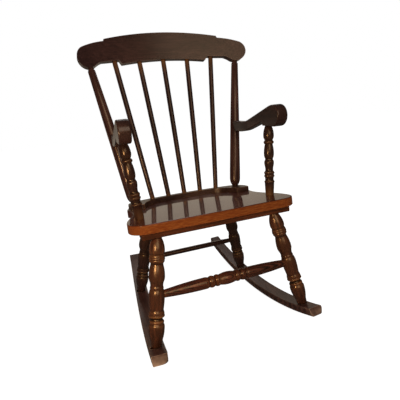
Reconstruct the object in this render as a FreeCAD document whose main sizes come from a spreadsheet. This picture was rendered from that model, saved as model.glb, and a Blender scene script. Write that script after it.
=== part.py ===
import FreeCAD, Part
import math
import os
from types import SimpleNamespace

from FreeCAD import Placement, Rotation, Vector
from Sketcher import Constraint

# A rocking armchair in turned and sawn hardwood. A curved rail lies on the seat board and carries
# two tapered posts and five spindles, which fan out into a stepped crest rail. The four splayed legs
# stand in two battens under the seat and on two rockers that draw together towards the rear.
# Millimetres. X is the chair's width, -Y its front, Z up. The origin is on the floor, under the
# middle of the rockers, which is also where they touch it.

os.makedirs("parts", exist_ok=True)
doc = FreeCAD.newDocument("RockingChair")

SIZES = {
    # seat board, measured in its own plane from the middle of the front edge
    "seat_height": 414,
    "seat_depth": 396,
    "seat_fall": 43,
    "seat_thick": 28,
    "seat_half_width": 268,
    "seat_corner": 52,
    "seat_front_radius": 4668,
    "seat_round": 4,
    "seat_chamfer": 1.5,
    "waist_half_width": 226,
    # curved rail on the seat
    "rail_width": 26,
    "rail_height": 16,
    "rail_margin": 6,
    "rail_radius": 806,
    "rail_bend_start": 170,
    "rail_bend_radius": 55,
    "rail_end_length": 16,
    "rail_housing": 1,
    "rail_round": 4,
    "rail_cove": 4,
    "rail_cove_height": 4.5,
    # crest rail, measured in its own leaning plane
    "back_length": 509,
    "back_lean": 110,
    "crest_thick": 25,
    "crest_radius": 814,
    "crest_half_width": 312,
    "crest_height": 132.3,
    "crest_lobe_radius": 34,
    # posts and spindles of the back
    "post_radius": 19,
    "post_foot_x": 200,
    "post_tenon_radius": 8.5,
    "post_foot_radius": 11.5,
    "post_head_depth": 30,
    "post_head_gap": 1.6,
    "spindle_radius": 9.5,
    "spindle_tenon_radius": 7,
    "spindle_foot_pitch": 63.6,
    "spindle_head_depth": 20,
    "spindle_head_gap": 0.5,
    "back_foot_depth": 26,
    # arms and their posts
    "arm_width": 24,
    "arm_depth": 38,
    "arm_roll_radius": 34,
    "arm_roll_reach": 54,
    "arm_pad_length": 14,
    "arm_pad_step": 11,
    "arm_pad_slope": 3,
    "arm_brow_lead": 39,
    "arm_arch_flat": 0.7,
    "arm_knee_radius": 190,
    "arm_brow_radius": 75,
    "arm_arch_radius": 55,
    "arm_elbow_radius": 290,
    "arm_round": 3.5,
    "arm_back_rise": 236,
    "arm_post_radius": 16,
    "arm_post_tenon_radius": 8.5,
    "arm_post_foot_radius": 12.5,
    "arm_post_tenon_depth": 20,
    "arm_post_x": 223,
    "arm_post_height": 230,
    "arm_post_lean": 21,
    "arm_seat_gap": 0.3,
    # battens under the seat
    "batten_width": 48,
    "batten_thick": 18,
    "batten_chamfer": 2,
    "front_batten_half_length": 238,
    "front_batten_inset": 15,
    "rear_batten_half_length": 182,
    "rear_batten_inset": 24,
    # legs
    "leg_radius": 23.2,
    "leg_top_radius": 13.2,
    "leg_foot_radius": 13.6,
    "leg_top_depth": 36,
    "leg_foot_depth": 12,
    "front_leg_top_x": 191.5,
    "rear_leg_top_x": 158.5,
    "foot_offset": 3.5,
    # stretchers
    "front_stretcher_radius": 18.5,
    "front_stretcher_end_radius": 10,
    "rear_stretcher_radius": 9.8,
    "rear_stretcher_end_radius": 8,
    "stretcher_depth": 14,
    # rockers
    "rocker_radius": 1117,
    "rocker_half_length": 366,
    "rocker_thick": 23,
    "rocker_width": 41,
    "rocker_half_gauge": 221.5,
    "rocker_toe": 27.6,
    "rocker_bevel": 21,
    "rocker_chamfer": 1.5,
    # screws, plugs and fits
    "screw_radius": 2.2,
    "screw_head_radius": 4.4,
    "screw_head_height": 3.2,
    "batten_screw_length": 36,
    "front_batten_screw_x": 120,
    "rear_batten_screw_x": 96,
    "rocker_screw_length": 42,
    "rocker_counterbore_depth": 3,
    "arm_screw_length": 50,
    "arm_counterbore_depth": 6,
    "plug_thick": 4,
    "glue_gap": 0.2,
    "end_gap": 1,
    "overrun": 30,
}

# Heights along a turning and its radii, as shares of its length and of its largest radius.
# At a "round" point the curve runs along the piece, and at an "edge" it breaks.
LEG_SHARES = [
    (0.012, 0.61, "edge"),
    (0.060, 0.69, "edge"),
    (0.186, 1.00, "round"),
    (0.214, 0.90, "edge"),
    (0.232, 0.92, "edge"),
    (0.246, 0.80, "edge"),
    (0.262, 0.73, "edge"),
    (0.274, 0.86, "edge"),
    (0.288, 1.00, "edge"),
    (0.302, 0.96, "edge"),
    (0.334, 0.86, "edge"),
    (0.470, 0.97, "round"),
    (0.521, 0.87, "edge"),
    (0.536, 0.91, "edge"),
    (0.546, 0.80, "edge"),
    (0.556, 0.74, "edge"),
    (0.636, 1.00, "round"),
    (0.756, 0.79, "edge"),
    (0.772, 0.90, "edge"),
    (0.800, 1.00, "edge"),
    (0.832, 0.88, "edge"),
    (0.874, 0.97, "round"),
    (0.985, 0.60, "edge"),
]
ARM_POST_SHARES = [
    (0.030, 0.80, "edge"),
    (0.185, 0.92, "edge"),
    (0.198, 1.00, "edge"),
    (0.212, 0.92, "edge"),
    (0.230, 0.76, "edge"),
    (0.268, 0.90, "edge"),
    (0.287, 1.00, "edge"),
    (0.306, 0.90, "edge"),
    (0.325, 1.00, "edge"),
    (0.344, 0.90, "edge"),
    (0.366, 0.64, "edge"),
    (0.484, 0.90, "round"),
    (0.530, 0.63, "edge"),
    (0.552, 0.84, "edge"),
    (0.610, 0.94, "round"),
    (0.742, 0.76, "edge"),
    (0.760, 0.90, "edge"),
    (0.775, 0.98, "edge"),
    (0.790, 0.90, "edge"),
    (0.808, 0.72, "edge"),
    (0.866, 0.98, "round"),
    (0.990, 0.70, "edge"),
    (0.998, 0.64, "edge"),
]
POST_SHARES = [
    (0.006, 0.62, "edge"),
    (0.012, 0.74, "edge"),
    (0.060, 1.00, "round"),
    (0.120, 1.00, "edge"),
    (0.560, 0.90, "edge"),
    (0.985, 0.62, "edge"),
    (0.996, 0.52, "edge"),
]
SPINDLE_SHARES = [
    (0.010, 0.76, "edge"),
    (0.300, 1.00, "edge"),
    (0.990, 0.76, "edge"),
]
STRETCHER_SHARES = [
    (0.045, 0.64, "edge"),
    (0.330, 0.91, "round"),
    (0.352, 0.80, "edge"),
    (0.377, 0.90, "edge"),
    (0.398, 0.78, "edge"),
    (0.418, 0.90, "edge"),
    (0.437, 0.80, "edge"),
]
DOWEL_SHARES = [
    (0.050, 0.90, "edge"),
    (0.120, 1.00, "edge"),
]
# How far the seat reaches in front of the origin, and how far behind its front edge the waist and
# the arm posts lie, as shares of its depth.
SEAT_LEAD_share = 0.611
SEAT_WAIST_share = 0.606
ARM_POST_DEPTH_share = 0.274
# Where the posts and spindles meet the crest, as shares of its half width.
CREST_POST_share = 0.872
CREST_SPINDLE_PITCH_share = 0.2955
# Where the legs stand on the rockers, as shares of the rockers' half length.
FRONT_FOOT_share = 0.773
REAR_FOOT_share = 0.350
FRONT_STRETCHER_HEIGHT_share = 0.463
REAR_STRETCHER_HEIGHT_share = 0.439
# How much the rail's ends spread for each unit that they run forward.
RAIL_FLARE_share = 0.18
# Where the arm's upper line (knee) and lower line (elbow) turn, as shares of its span from the
# post's head to the back.
ARM_KNEE_share = 0.570
ARM_ELBOW_share = 0.610
# The crest's outline on its right half: shares of its half width and of its height.
CREST_STEP_TOP_shares = (0.679, 0.779)
CREST_STEP_FOOT_shares = (0.689, 0.723)
CREST_SHOULDER_shares = (0.939, 0.520)
CREST_TURN_shares = (0.811, 0.082)
CREST_RECESS_shares = (0.747, 0.174)
CREST_NOTCH_TOP_shares = (0.538, 0.239)
CREST_NOTCH_FOOT_shares = (0.510, 0.138)
CREST_MIDDLE_share = 0.252
CREST_SHOULDER_SWELL_share = 0.025


def fill_sheet(name, values):
    """A sheet with one named number in each row."""
    sheet = doc.addObject("Spreadsheet::Sheet", name)
    for row, (alias, value) in enumerate(values.items(), 1):
        sheet.set(f"A{row}", alias)
        sheet.set(f"B{row}", str(value))
        sheet.setAlias(f"B{row}", alias)
    doc.recompute()
    return SimpleNamespace(**{alias: float(sheet.get(alias)) for alias in values})


S = fill_sheet("Sizes", SIZES)


# Places


def between(start, end):
    """The frame that stands at start with its Z axis pointing at end."""
    return Placement(start, Rotation(Vector(0, 0, 1), end - start))


def along(start, end, share):
    return start + (end - start) * share


def mirrored(point):
    return Vector(-point.x, point.y, point.z)


def polar(centre, radius, turn):
    """A point in plan, turned from straight back towards the right."""
    return centre + Vector(math.sin(turn), math.cos(turn), 0) * radius


# The seat's frame: its origin in the middle of the front edge, on top, Y running back in the board.
seat_slope = math.degrees(math.asin(S.seat_fall / S.seat_depth))
seat_front = Vector(0, -SEAT_LEAD_share * S.seat_depth, S.seat_height)
seat_frame = Placement(seat_front, Rotation(Vector(1, 0, 0), -seat_slope))

# The rail's middle line in the seat's frame: a long arc, a tight bend and a short straight end.
rail_middle = S.seat_depth - S.rail_margin - S.rail_width / 2
rail_centre = Vector(0, rail_middle - S.rail_radius, 0)
rail_turn = math.asin(S.rail_bend_start / S.rail_radius)
rail_end_turn = math.atan2(1, RAIL_FLARE_share)
bend_centre = polar(rail_centre, S.rail_radius - S.rail_bend_radius, rail_turn)


def rail_line(offset):
    """Right half of a line beside the rail's middle line: its arc's end, bend and straight end."""
    start = polar(rail_centre, S.rail_radius + offset, rail_turn)
    middle = polar(bend_centre, S.rail_bend_radius + offset, (rail_turn + rail_end_turn) / 2)
    end = polar(bend_centre, S.rail_bend_radius + offset, rail_end_turn)
    forward = Vector(math.cos(rail_end_turn), -math.sin(rail_end_turn), 0)
    return start, middle, end, end + forward * S.rail_end_length


def on_rail(x):
    """The point of the rail's middle line at x, on the rail's top, in the room's frame."""
    side = math.copysign(1, x)
    centre, radius = rail_centre, S.rail_radius
    if abs(x) > S.rail_bend_start:
        centre, radius = Vector(side * bend_centre.x, bend_centre.y, 0), S.rail_bend_radius
    y = centre.y + math.sqrt(radius ** 2 - (x - centre.x) ** 2)
    return seat_frame.multVec(Vector(x, y, S.rail_height))


# The crest's frame: its origin under the middle of the crest, level with its lobes' lowest points.
crest_lean = math.asin(S.back_lean / S.back_length)
crest_reach = S.back_length - CREST_MIDDLE_share * S.crest_height
crest_foot = on_rail(0) + Vector(0, math.sin(crest_lean), math.cos(crest_lean)) * crest_reach
crest_frame = Placement(crest_foot, Rotation(Vector(1, 0, 0), -math.degrees(crest_lean)))


def on_crest(x, height):
    """A point of the crest's middle surface, in the room's frame."""
    y = math.sqrt(S.crest_radius ** 2 - x ** 2) - S.crest_radius
    return crest_frame.multVec(Vector(x, y, height))


def crest_share(shares):
    return Vector(shares[0] * S.crest_half_width, shares[1] * S.crest_height, 0)


# The rockers' frames stand on the floor at their lowest points, turned so that the fronts spread.
toe_turn = math.degrees(math.atan2(S.rocker_toe, S.rocker_half_length))


def rocker_frame(side):
    return Placement(Vector(side * S.rocker_half_gauge, 0, 0), Rotation(Vector(0, 0, 1), side * toe_turn))


def rocker_top(y):
    return S.rocker_radius - math.sqrt((S.rocker_radius - S.rocker_thick) ** 2 - y ** 2)


def foot(side, y):
    """Where a leg stands on its rocker, a little outside the rocker's middle."""
    return rocker_frame(side).multVec(Vector(side * S.foot_offset, y, rocker_top(y)))


def batten_middle(rear):
    if rear:
        return S.seat_depth - S.rear_batten_inset - S.batten_width / 2
    return S.front_batten_inset + S.batten_width / 2


def leg_ends(side, rear):
    top_x = S.rear_leg_top_x if rear else S.front_leg_top_x
    foot_y = (REAR_FOOT_share if rear else -FRONT_FOOT_share) * S.rocker_half_length
    top = Vector(side * top_x, batten_middle(rear), -S.seat_thick - S.batten_thick)
    return foot(side, foot_y), seat_frame.multVec(top)


# Drawing


def edge_to(sketch, start, end, middle):
    """Add a line, or an arc through middle, and say which ends of it start and end are."""
    if not middle:
        return sketch.addGeometry(Part.LineSegment(start, end)), 1, 2
    leftward = (middle - start).cross(end - middle).z > 0
    first, last = (start, end) if leftward else (end, start)
    circle = Part.Circle(first, middle, last)
    angles = [math.atan2(point.y - circle.Center.y, point.x - circle.Center.x) for point in (first, last)]
    upright = Part.Circle(circle.Center, Vector(0, 0, 1), circle.Radius)
    geometry = sketch.addGeometry(Part.ArcOfCircle(upright, *angles))
    return (geometry, 1, 2) if leftward else (geometry, 2, 1)


def draw(sketch, corners):
    """A closed outline. A corner is a point, the middle of the arc that leads to it or None, and the
    sheet's words for its two coordinates or None."""
    edges = []
    for index, (point, middle, words) in enumerate(corners):
        edges.append(edge_to(sketch, corners[index - 1][0], point, middle))
    held = []
    for index, (geometry, start, end) in enumerate(edges):
        last, _, last_end = edges[index - 1]
        held.append((Constraint("Coincident", last, last_end, geometry, start), None))
    for (geometry, start, end), (point, middle, words) in zip(edges, corners):
        for kind, value, word in zip(("DistanceX", "DistanceY"), (point.x, point.y), words or (None, None)):
            if word:
                held.append((Constraint(kind, geometry, end, value), word))
    numbers = sketch.addConstraint([constraint for constraint, word in held])
    for number, (constraint, word) in zip(numbers, held):
        if word:
            sketch.setExpression(f"Constraints[{number}]", word)


def new_body(label):
    body = doc.addObject("PartDesign::Body", label)
    body.Label = label
    return body


def plane_of(body, role):
    return next(plane for plane in body.Origin.OriginFeatures if plane.Role == role)


def new_sketch(body, name, role, offset=Placement()):
    sketch = body.newObject("Sketcher::SketchObject", name)
    sketch.AttachmentSupport = (plane_of(body, role), [""])
    sketch.MapMode = "FlatFace"
    sketch.AttachmentOffset = offset
    return sketch


def bind(feature, **words):
    for name, word in words.items():
        feature.setExpression(name, word)


def pad(body, sketch, length, **options):
    feature = body.newObject("PartDesign::Pad", "Pad")
    feature.Profile = sketch
    bind(feature, Length=length)
    for name, value in options.items():
        setattr(feature, name, value)
    doc.recompute()
    return feature


def pocket(body, sketch, **options):
    before = body.Shape.Volume
    feature = body.newObject("PartDesign::Pocket", "Pocket")
    feature.Profile = sketch
    for name, value in options.items():
        if isinstance(value, str) and name == "Length":
            feature.setExpression(name, value)
        else:
            setattr(feature, name, value)
    doc.recompute()
    if body.Shape.Volume >= before:
        raise ValueError(f"{body.Label}: the pocket cuts nothing")
    return feature


def round_edges(body, wanted, radius, kind="Fillet"):
    """Round or chamfer the edges of the body's last feature that wanted picks."""
    base = body.Tip
    names = [f"Edge{number}" for number, edge in enumerate(base.Shape.Edges, 1) if wanted(edge)]
    feature = body.newObject(f"PartDesign::{kind}", kind)
    feature.Base = (base, names)
    feature.Refine = False
    bind(feature, **{"Radius" if kind == "Fillet" else "Size": radius})
    doc.recompute()
    return feature


def level(edge, axis, value):
    """Whether an edge lies wholly at one height along an axis of its body."""
    box = edge.BoundBox
    low, high = getattr(box, f"{axis}Min"), getattr(box, f"{axis}Max")
    return abs(low - value) < S.glue_gap and abs(high - value) < S.glue_gap


def bore(body, frame, start, end, radius):
    """Cut a round hole along the Z axis of a frame in the room, from start to end."""
    before = body.Shape.Volume
    hole = body.newObject("PartDesign::SubtractiveCylinder", "Socket")
    hole.Height = end - start
    bind(hole, Radius=radius)
    hole.Placement = body.Placement.inverse() * frame * Placement(Vector(0, 0, start), Rotation())
    doc.recompute()
    if body.Shape.Volume >= before:
        raise ValueError(f"{body.Label}: the socket cuts nothing")


def cone_bore(body, frame, start, end, start_radius, end_radius):
    """Cut a tapered hole along the Z axis of a frame in the room."""
    hole = body.newObject("PartDesign::SubtractiveCone", "Taper")
    hole.Height = end - start
    hole.Radius1 = start_radius
    hole.Radius2 = end_radius
    hole.Placement = body.Placement.inverse() * frame * Placement(Vector(0, 0, start), Rotation())
    doc.recompute()


# Turning


def turning_corners(rows):
    """The outline of a turning, as corners, from rows of radius, height, kind and their words."""
    corners = []
    last = None
    for radius, height, kind, words in rows:
        point = Vector(radius, height, 0)
        if last and "round" in (kind, last[1]) and not math.isclose(radius, last[0].x):
            if kind == last[1]:
                halfway = (point + last[0]) / 2
                corners.append((halfway, swell(last[0], halfway), None))
                corners.append((point, swell(point, halfway), words))
            elif kind == "round":
                corners.append((point, swell(point, last[0]), words))
            else:
                corners.append((point, swell(last[0], point), words))
        else:
            corners.append((point, None, words))
        last = (point, kind)
    return corners


def swell(crown, end):
    """The middle of the arc that runs along the piece at its crown and passes through end."""
    rise, fall = end.y - crown.y, end.x - crown.x
    radius = (rise ** 2 + fall ** 2) / (2 * abs(fall))
    centre = Vector(crown.x + math.copysign(radius, fall), crown.y, 0)
    turn = math.asin(min(1, abs(rise) / radius)) / 2
    across = math.copysign(radius * math.cos(turn), -fall)
    return centre + Vector(across, math.copysign(radius * math.sin(turn), rise), 0)


def turned(label, start, end, radius, shares, foot_tenon, head_tenon):
    """A piece turned between start and end, with a round tenon at each end. Its profile keeps the
    distance between them as a length of its own."""
    body = new_body(label)
    sketch = new_sketch(body, "Profile", "XZ_Plane")
    sketch.addProperty("App::PropertyFloat", "Reach")
    sketch.Reach = (end - start).Length
    reach, thick = sketch.Reach, getattr(S, radius)
    foot_radius, foot_depth = (getattr(S, name) for name in foot_tenon)
    head_radius, head_depth = (getattr(S, name) for name in head_tenon)
    foot_words = [f"Sizes.{name}" for name in foot_tenon]
    head_words = [f"Sizes.{name}" for name in head_tenon]
    first, last = shares[0][0], shares[-1][0]
    rows = [(foot_radius, -foot_depth, "edge", (foot_words[0], f"-{foot_words[1]}"))]
    rows.append((foot_radius, first * reach, "edge", (foot_words[0], f"Reach * {first}")))
    for height, girth, kind in shares:
        words = (f"Sizes.{radius} * {girth}", f"Reach * {height}")
        rows.append((girth * thick, height * reach, kind, words))
    rows.append((head_radius, last * reach, "edge", (head_words[0], f"Reach * {last}")))
    rows.append((head_radius, reach + head_depth, "edge", (head_words[0], f"Reach + {head_words[1]}")))
    corners = turning_corners(rows)
    corners.append((Vector(0, reach + head_depth, 0), None, None))
    corners.append((Vector(0, -foot_depth, 0), None, None))
    draw(sketch, corners)
    feature = body.newObject("PartDesign::Revolution", "Turning")
    feature.Profile = sketch
    feature.ReferenceAxis = (sketch, ["V_Axis"])
    feature.Angle = 360
    body.Placement = between(start, end)
    doc.recompute()
    return body


def both_ways(shares):
    """A turning that is the same from both ends, from its first half."""
    middle = [(0.5, 1.0, "round")]
    return shares + middle + [(1 - height, girth, kind) for height, girth, kind in reversed(shares)]


SIDES = {"left": -1, "right": 1}

# Seat board: a flat board with rounded front corners and drawn-in sides, its back edge following the
# rail, which sits in a shallow housing.


def seat_outline():
    start, bend, end, tip = rail_line(S.rail_width / 2 + S.rail_margin)
    waist = Vector(S.waist_half_width, SEAT_WAIST_share * S.seat_depth, 0)
    # the front edge is a slow curve that runs on into the corners' arcs
    slow = S.seat_front_radius - S.seat_corner
    reach = S.seat_half_width - S.seat_corner
    swing = math.asin(reach / slow)
    corner_centre = Vector(reach, S.seat_front_radius - slow * math.cos(swing), 0)
    widest = corner_centre + Vector(S.seat_corner, 0, 0)
    corner = polar(corner_centre, S.seat_corner, math.pi - swing)
    corner_middle = polar(corner_centre, S.seat_corner, (3 * math.pi / 2 - swing) / 2)
    halfway = (waist + widest) / 2
    half = [
        (end, bend, None),
        (tip, None, None),
        (waist, swell(waist, tip), ("Sizes.waist_half_width", f"Sizes.seat_depth * {SEAT_WAIST_share}")),
        (halfway, swell(waist, halfway), None),
        (widest, swell(widest, halfway), ("Sizes.seat_half_width", None)),
        (corner, corner_middle, None),
    ]
    return mirror_outline(start, Vector(0, S.seat_depth, 0), half, Vector(0, 0, 0))


def mirror_outline(start, start_middle, half, end_middle):
    """A whole outline from its right half: the arc across the middle, the half, and its mirror image."""
    corners = [(start, start_middle, None)] + half
    points = [start] + [corner[0] for corner in half]
    middles = [corner[1] for corner in half]
    corners.append((mirrored(points[-1]), end_middle, None))
    for point, middle in zip(reversed(points[:-1]), reversed(middles)):
        corners.append((mirrored(point), mirrored(middle) if middle else None, None))
    return corners


def rail_outline(gap):
    """The rail's plan, grown all round by gap."""
    outer = rail_line(S.rail_width / 2 + gap)
    inner = rail_line(-S.rail_width / 2 - gap)
    forward = Vector(math.cos(rail_end_turn), -math.sin(rail_end_turn), 0) * gap
    half = [
        (outer[2], outer[1], None),
        (outer[3] + forward, None, None),
        (inner[3] + forward, None, None),
        (inner[2], None, None),
        (inner[0], inner[1], None),
    ]
    front = Vector(0, rail_middle - S.rail_width / 2 - gap, 0)
    return mirror_outline(outer[0], Vector(0, rail_middle + S.rail_width / 2 + gap, 0), half, front)


seat = new_body("seat")
seat_sketch = new_sketch(seat, "Outline", "XY_Plane")
draw(seat_sketch, seat_outline())
pad(seat, seat_sketch, "Sizes.seat_thick", Reversed=True)
round_edges(seat, lambda edge: level(edge, "Z", 0), "Sizes.seat_round")
round_edges(seat, lambda edge: level(edge, "Z", -S.seat_thick), "Sizes.seat_chamfer", "Chamfer")
housing = new_sketch(seat, "Housing", "XY_Plane")
draw(housing, rail_outline(S.glue_gap))
pocket(seat, housing, Length="Sizes.rail_housing")
seat.Placement = seat_frame

# Rail on the seat, with a rounded top and a cove along its front that stops before the bends.
back_rail = new_body("back_rail")
rail_base = Placement(Vector(0, 0, -S.rail_housing), Rotation())
rail_sketch = new_sketch(back_rail, "Outline", "XY_Plane", rail_base)
draw(rail_sketch, rail_outline(0))
pad(back_rail, rail_sketch, "Sizes.rail_height + Sizes.rail_housing")
round_edges(back_rail, lambda edge: level(edge, "Z", S.rail_height), "Sizes.rail_round")
cove = new_sketch(back_rail, "Cove", "YZ_Plane")
cove_middle = Vector(rail_middle - S.rail_width / 2, S.rail_cove_height, 0)
cove.addGeometry(Part.Circle(cove_middle, Vector(0, 0, 1), S.rail_cove))
cove_axis = Vector(rail_centre.y, 0, 0)
cove.addGeometry(Part.LineSegment(cove_axis, cove_axis + Vector(0, S.rail_height, 0)), True)
cove_radius = cove.addConstraint(Constraint("Radius", 0, S.rail_cove))
cove.setExpression(f"Constraints[{cove_radius}]", "Sizes.rail_cove")
groove = back_rail.newObject("PartDesign::Groove", "CoveCut")
groove.Profile = cove
groove.ReferenceAxis = (cove, ["Axis0"])
groove.Midplane = True
groove.Angle = math.degrees(2 * rail_turn)
back_rail.Placement = seat_frame
doc.recompute()

# Battens screwed to the underside of the seat, which the legs pass through.


def batten(label, rear, half_length):
    body = new_body(label)
    sketch = new_sketch(body, "Outline", "XY_Plane", Placement(Vector(0, 0, -S.seat_thick), Rotation()))
    middle, reach = batten_middle(rear), getattr(S, half_length)
    front, back = middle - S.batten_width / 2, middle + S.batten_width / 2
    long = f"Sizes.{half_length}"
    draw(sketch, [
        (Vector(reach, back, 0), None, (long, None)),
        (Vector(-reach, back, 0), None, (f"-{long}", None)),
        (Vector(-reach, front, 0), None, None),
        (Vector(reach, front, 0), None, None),
    ])
    pad(body, sketch, "Sizes.batten_thick", Reversed=True)
    under = -S.seat_thick - S.batten_thick
    round_edges(body, lambda edge: level(edge, "Z", under), "Sizes.batten_chamfer", "Chamfer")
    body.Placement = seat_frame
    return body


batten_front = batten("batten_front", False, "front_batten_half_length")
batten_rear = batten("batten_rear", True, "rear_batten_half_length")

# Rockers: arcs of one circle, with the front end sloped back from its lower edge.


def rocker(side_name, side):
    body = new_body(f"rocker_{side_name}")
    sketch = new_sketch(body, "Side", "YZ_Plane")
    inner = S.rocker_radius - S.rocker_thick
    centre = Vector(0, S.rocker_radius, 0)

    def on_arc(radius, y):
        return Vector(y, S.rocker_radius - math.sqrt(radius ** 2 - y ** 2), 0)

    low_front = on_arc(S.rocker_radius, -S.rocker_half_length)
    low_rear = on_arc(S.rocker_radius, S.rocker_half_length)
    high_rear = on_arc(inner, S.rocker_half_length)
    high_front = on_arc(inner, -S.rocker_half_length + S.rocker_bevel)
    draw(sketch, [
        (low_rear, centre - Vector(0, S.rocker_radius, 0), ("Sizes.rocker_half_length", None)),
        (high_rear, None, ("Sizes.rocker_half_length", None)),
        (high_front, centre - Vector(0, inner, 0), ("Sizes.rocker_bevel - Sizes.rocker_half_length", None)),
        (low_front, None, ("-Sizes.rocker_half_length", None)),
    ])
    pad(body, sketch, "Sizes.rocker_width", Midplane=True)
    long_edges = S.rocker_half_length
    round_edges(body, lambda edge: edge.Length > long_edges, "Sizes.rocker_chamfer", "Chamfer")
    body.Placement = rocker_frame(side)
    return body


rockers = {name: rocker(name, side) for name, side in SIDES.items()}

# Legs, all turned to one pattern, with their upper ends through the battens and into the seat.
legs = {}
for end_name, is_rear in (("front", False), ("rear", True)):
    for side_name, side in SIDES.items():
        low, high = leg_ends(side, is_rear)
        legs[end_name, side_name] = turned(
            f"leg_{end_name}_{side_name}", low, high, "leg_radius", LEG_SHARES,
            ("leg_foot_radius", "leg_foot_depth"), ("leg_top_radius", "leg_top_depth"))
        frame = between(low, high)
        tall = (high - low).Length
        board = batten_rear if is_rear else batten_front
        for holder in (board, seat):
            bore(holder, frame, tall - S.overrun, tall + S.leg_top_depth + S.end_gap,
                 "Sizes.leg_top_radius + Sizes.glue_gap")
        bore(rockers[side_name], frame, -S.leg_foot_depth - S.end_gap, S.overrun,
             "Sizes.leg_foot_radius + Sizes.glue_gap")

# Stretchers between the legs of a pair, tenoned into them.


def stretcher(label, end_name, height_share, radius, end_radius, shares):
    ends = [along(*leg_ends(side, end_name == "rear"), height_share) for side in SIDES.values()]
    direction = (ends[1] - ends[0]).normalize()
    start = ends[0] + direction * S.stretcher_depth
    end = ends[1] - direction * S.stretcher_depth
    inward = "stretcher_depth"
    body = turned(label, start, end, radius, both_ways(shares), (end_radius, inward), (end_radius, inward))
    frame = between(start, end)
    tall = (end - start).Length
    leg_left, leg_right = (legs[end_name, side_name] for side_name in SIDES)
    wide = f"Sizes.{end_radius} + Sizes.glue_gap"
    bore(leg_left, frame, -S.stretcher_depth - S.end_gap, S.overrun, wide)
    bore(leg_right, frame, tall - S.overrun, tall + S.stretcher_depth + S.end_gap, wide)
    return body


stretcher("front_stretcher", "front", FRONT_STRETCHER_HEIGHT_share, "front_stretcher_radius",
          "front_stretcher_end_radius", STRETCHER_SHARES)
stretcher("rear_stretcher", "rear", REAR_STRETCHER_HEIGHT_share, "rear_stretcher_radius",
          "rear_stretcher_end_radius", DOWEL_SHARES)

# Crest rail: a board bent to an arc, with a raised middle, stepped shoulders and round lobes.


def crest_outline():
    step_top = crest_share(CREST_STEP_TOP_shares)
    step_foot = crest_share(CREST_STEP_FOOT_shares)
    shoulder = crest_share(CREST_SHOULDER_shares)
    end = Vector(S.crest_half_width, S.crest_lobe_radius, 0)
    lobe = Vector(S.crest_half_width - S.crest_lobe_radius, 0, 0)
    turn = crest_share(CREST_TURN_shares)
    recess = crest_share(CREST_RECESS_shares)
    notch_top = crest_share(CREST_NOTCH_TOP_shares)
    notch_foot = crest_share(CREST_NOTCH_FOOT_shares)
    swelling = Vector(0, CREST_SHOULDER_SWELL_share * S.crest_height, 0)

    def level_arc(crown, other):
        """The middle of the arc that is level at crown and passes through other."""
        flat = swell(Vector(crown.y, crown.x, 0), Vector(other.y, other.x, 0))
        return Vector(flat.y, flat.x, 0)

    half = [
        (step_foot, None, None),
        (shoulder, (step_foot + shoulder) / 2 + swelling, None),
        (end, swell(end, shoulder), ("Sizes.crest_half_width", "Sizes.crest_lobe_radius")),
        (lobe, level_arc(lobe, end), None),
        (turn, level_arc(lobe, turn), None),
        (recess, (turn + recess) / 2 + swelling / 4, None),
        (notch_top, None, None),
        (notch_foot, None, None),
    ]
    middle = Vector(0, CREST_MIDDLE_share * S.crest_height, 0)
    return mirror_outline(step_top, Vector(0, S.crest_height, 0), half, middle)


crest_rail = new_body("crest_rail")
plan = new_sketch(crest_rail, "Plan", "XY_Plane")
front_radius, back_radius = S.crest_radius - S.crest_thick / 2, S.crest_radius + S.crest_thick / 2
crest_centre = Vector(0, -S.crest_radius, 0)
plan_turn = math.asin((S.crest_half_width + S.overrun) / S.crest_radius)
draw(plan, [
    (polar(crest_centre, back_radius, plan_turn), polar(crest_centre, back_radius, 0), None),
    (polar(crest_centre, front_radius, plan_turn), None, None),
    (polar(crest_centre, front_radius, -plan_turn), polar(crest_centre, front_radius, 0), None),
    (polar(crest_centre, back_radius, -plan_turn), None, None),
])
pad(crest_rail, plan, "Sizes.crest_height")
waste = new_sketch(crest_rail, "Waste", "XZ_Plane")
draw(waste, crest_outline())
far_x, far_z = S.crest_half_width + 2 * S.overrun, S.crest_height + S.overrun
draw(waste, [
    (Vector(far_x, -S.overrun, 0), None, None),
    (Vector(far_x, far_z, 0), None, None),
    (Vector(-far_x, far_z, 0), None, None),
    (Vector(-far_x, -S.overrun, 0), None, None),
])
pocket(crest_rail, waste, Type="ThroughAll", Midplane=True)
crest_rail.Placement = crest_frame
doc.recompute()

# The back: two tapered posts and five spindles, through the rail into the seat and up into the crest.


def stand_in_back(label, foot_x, head_x, head_height, head_gap, radius, shares, foot_tenon, head_tenon):
    low, high = on_rail(foot_x), on_crest(head_x, head_height)
    top = high - (high - low).normalize() * head_gap
    body = turned(label, low, top, radius, shares, foot_tenon, head_tenon)
    frame = between(low, top)
    tall = (top - low).Length
    foot_end = -getattr(S, foot_tenon[1]) - S.end_gap
    head_end = tall + getattr(S, head_tenon[1]) + S.end_gap
    for holder in (back_rail, seat):
        bore(holder, frame, foot_end, S.overrun, f"Sizes.{foot_tenon[0]} + Sizes.glue_gap")
    bore(crest_rail, frame, tall - S.overrun, head_end, f"Sizes.{head_tenon[0]} + Sizes.glue_gap")
    return body


def crest_underside(x):
    """The height of the crest's lower edge at x: an arch in the middle, with a slope beside it."""
    foot, top, recess = (crest_share(shares) for shares in (
        CREST_NOTCH_FOOT_shares, CREST_NOTCH_TOP_shares, CREST_RECESS_shares))
    if abs(x) > foot.x:
        return top.y + (recess.y - top.y) * (abs(x) - top.x) / (recess.x - top.x)
    crown = CREST_MIDDLE_share * S.crest_height
    radius = (foot.x ** 2 + (crown - foot.y) ** 2) / (2 * (crown - foot.y))
    return crown - radius + math.sqrt(radius ** 2 - x ** 2)


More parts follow.
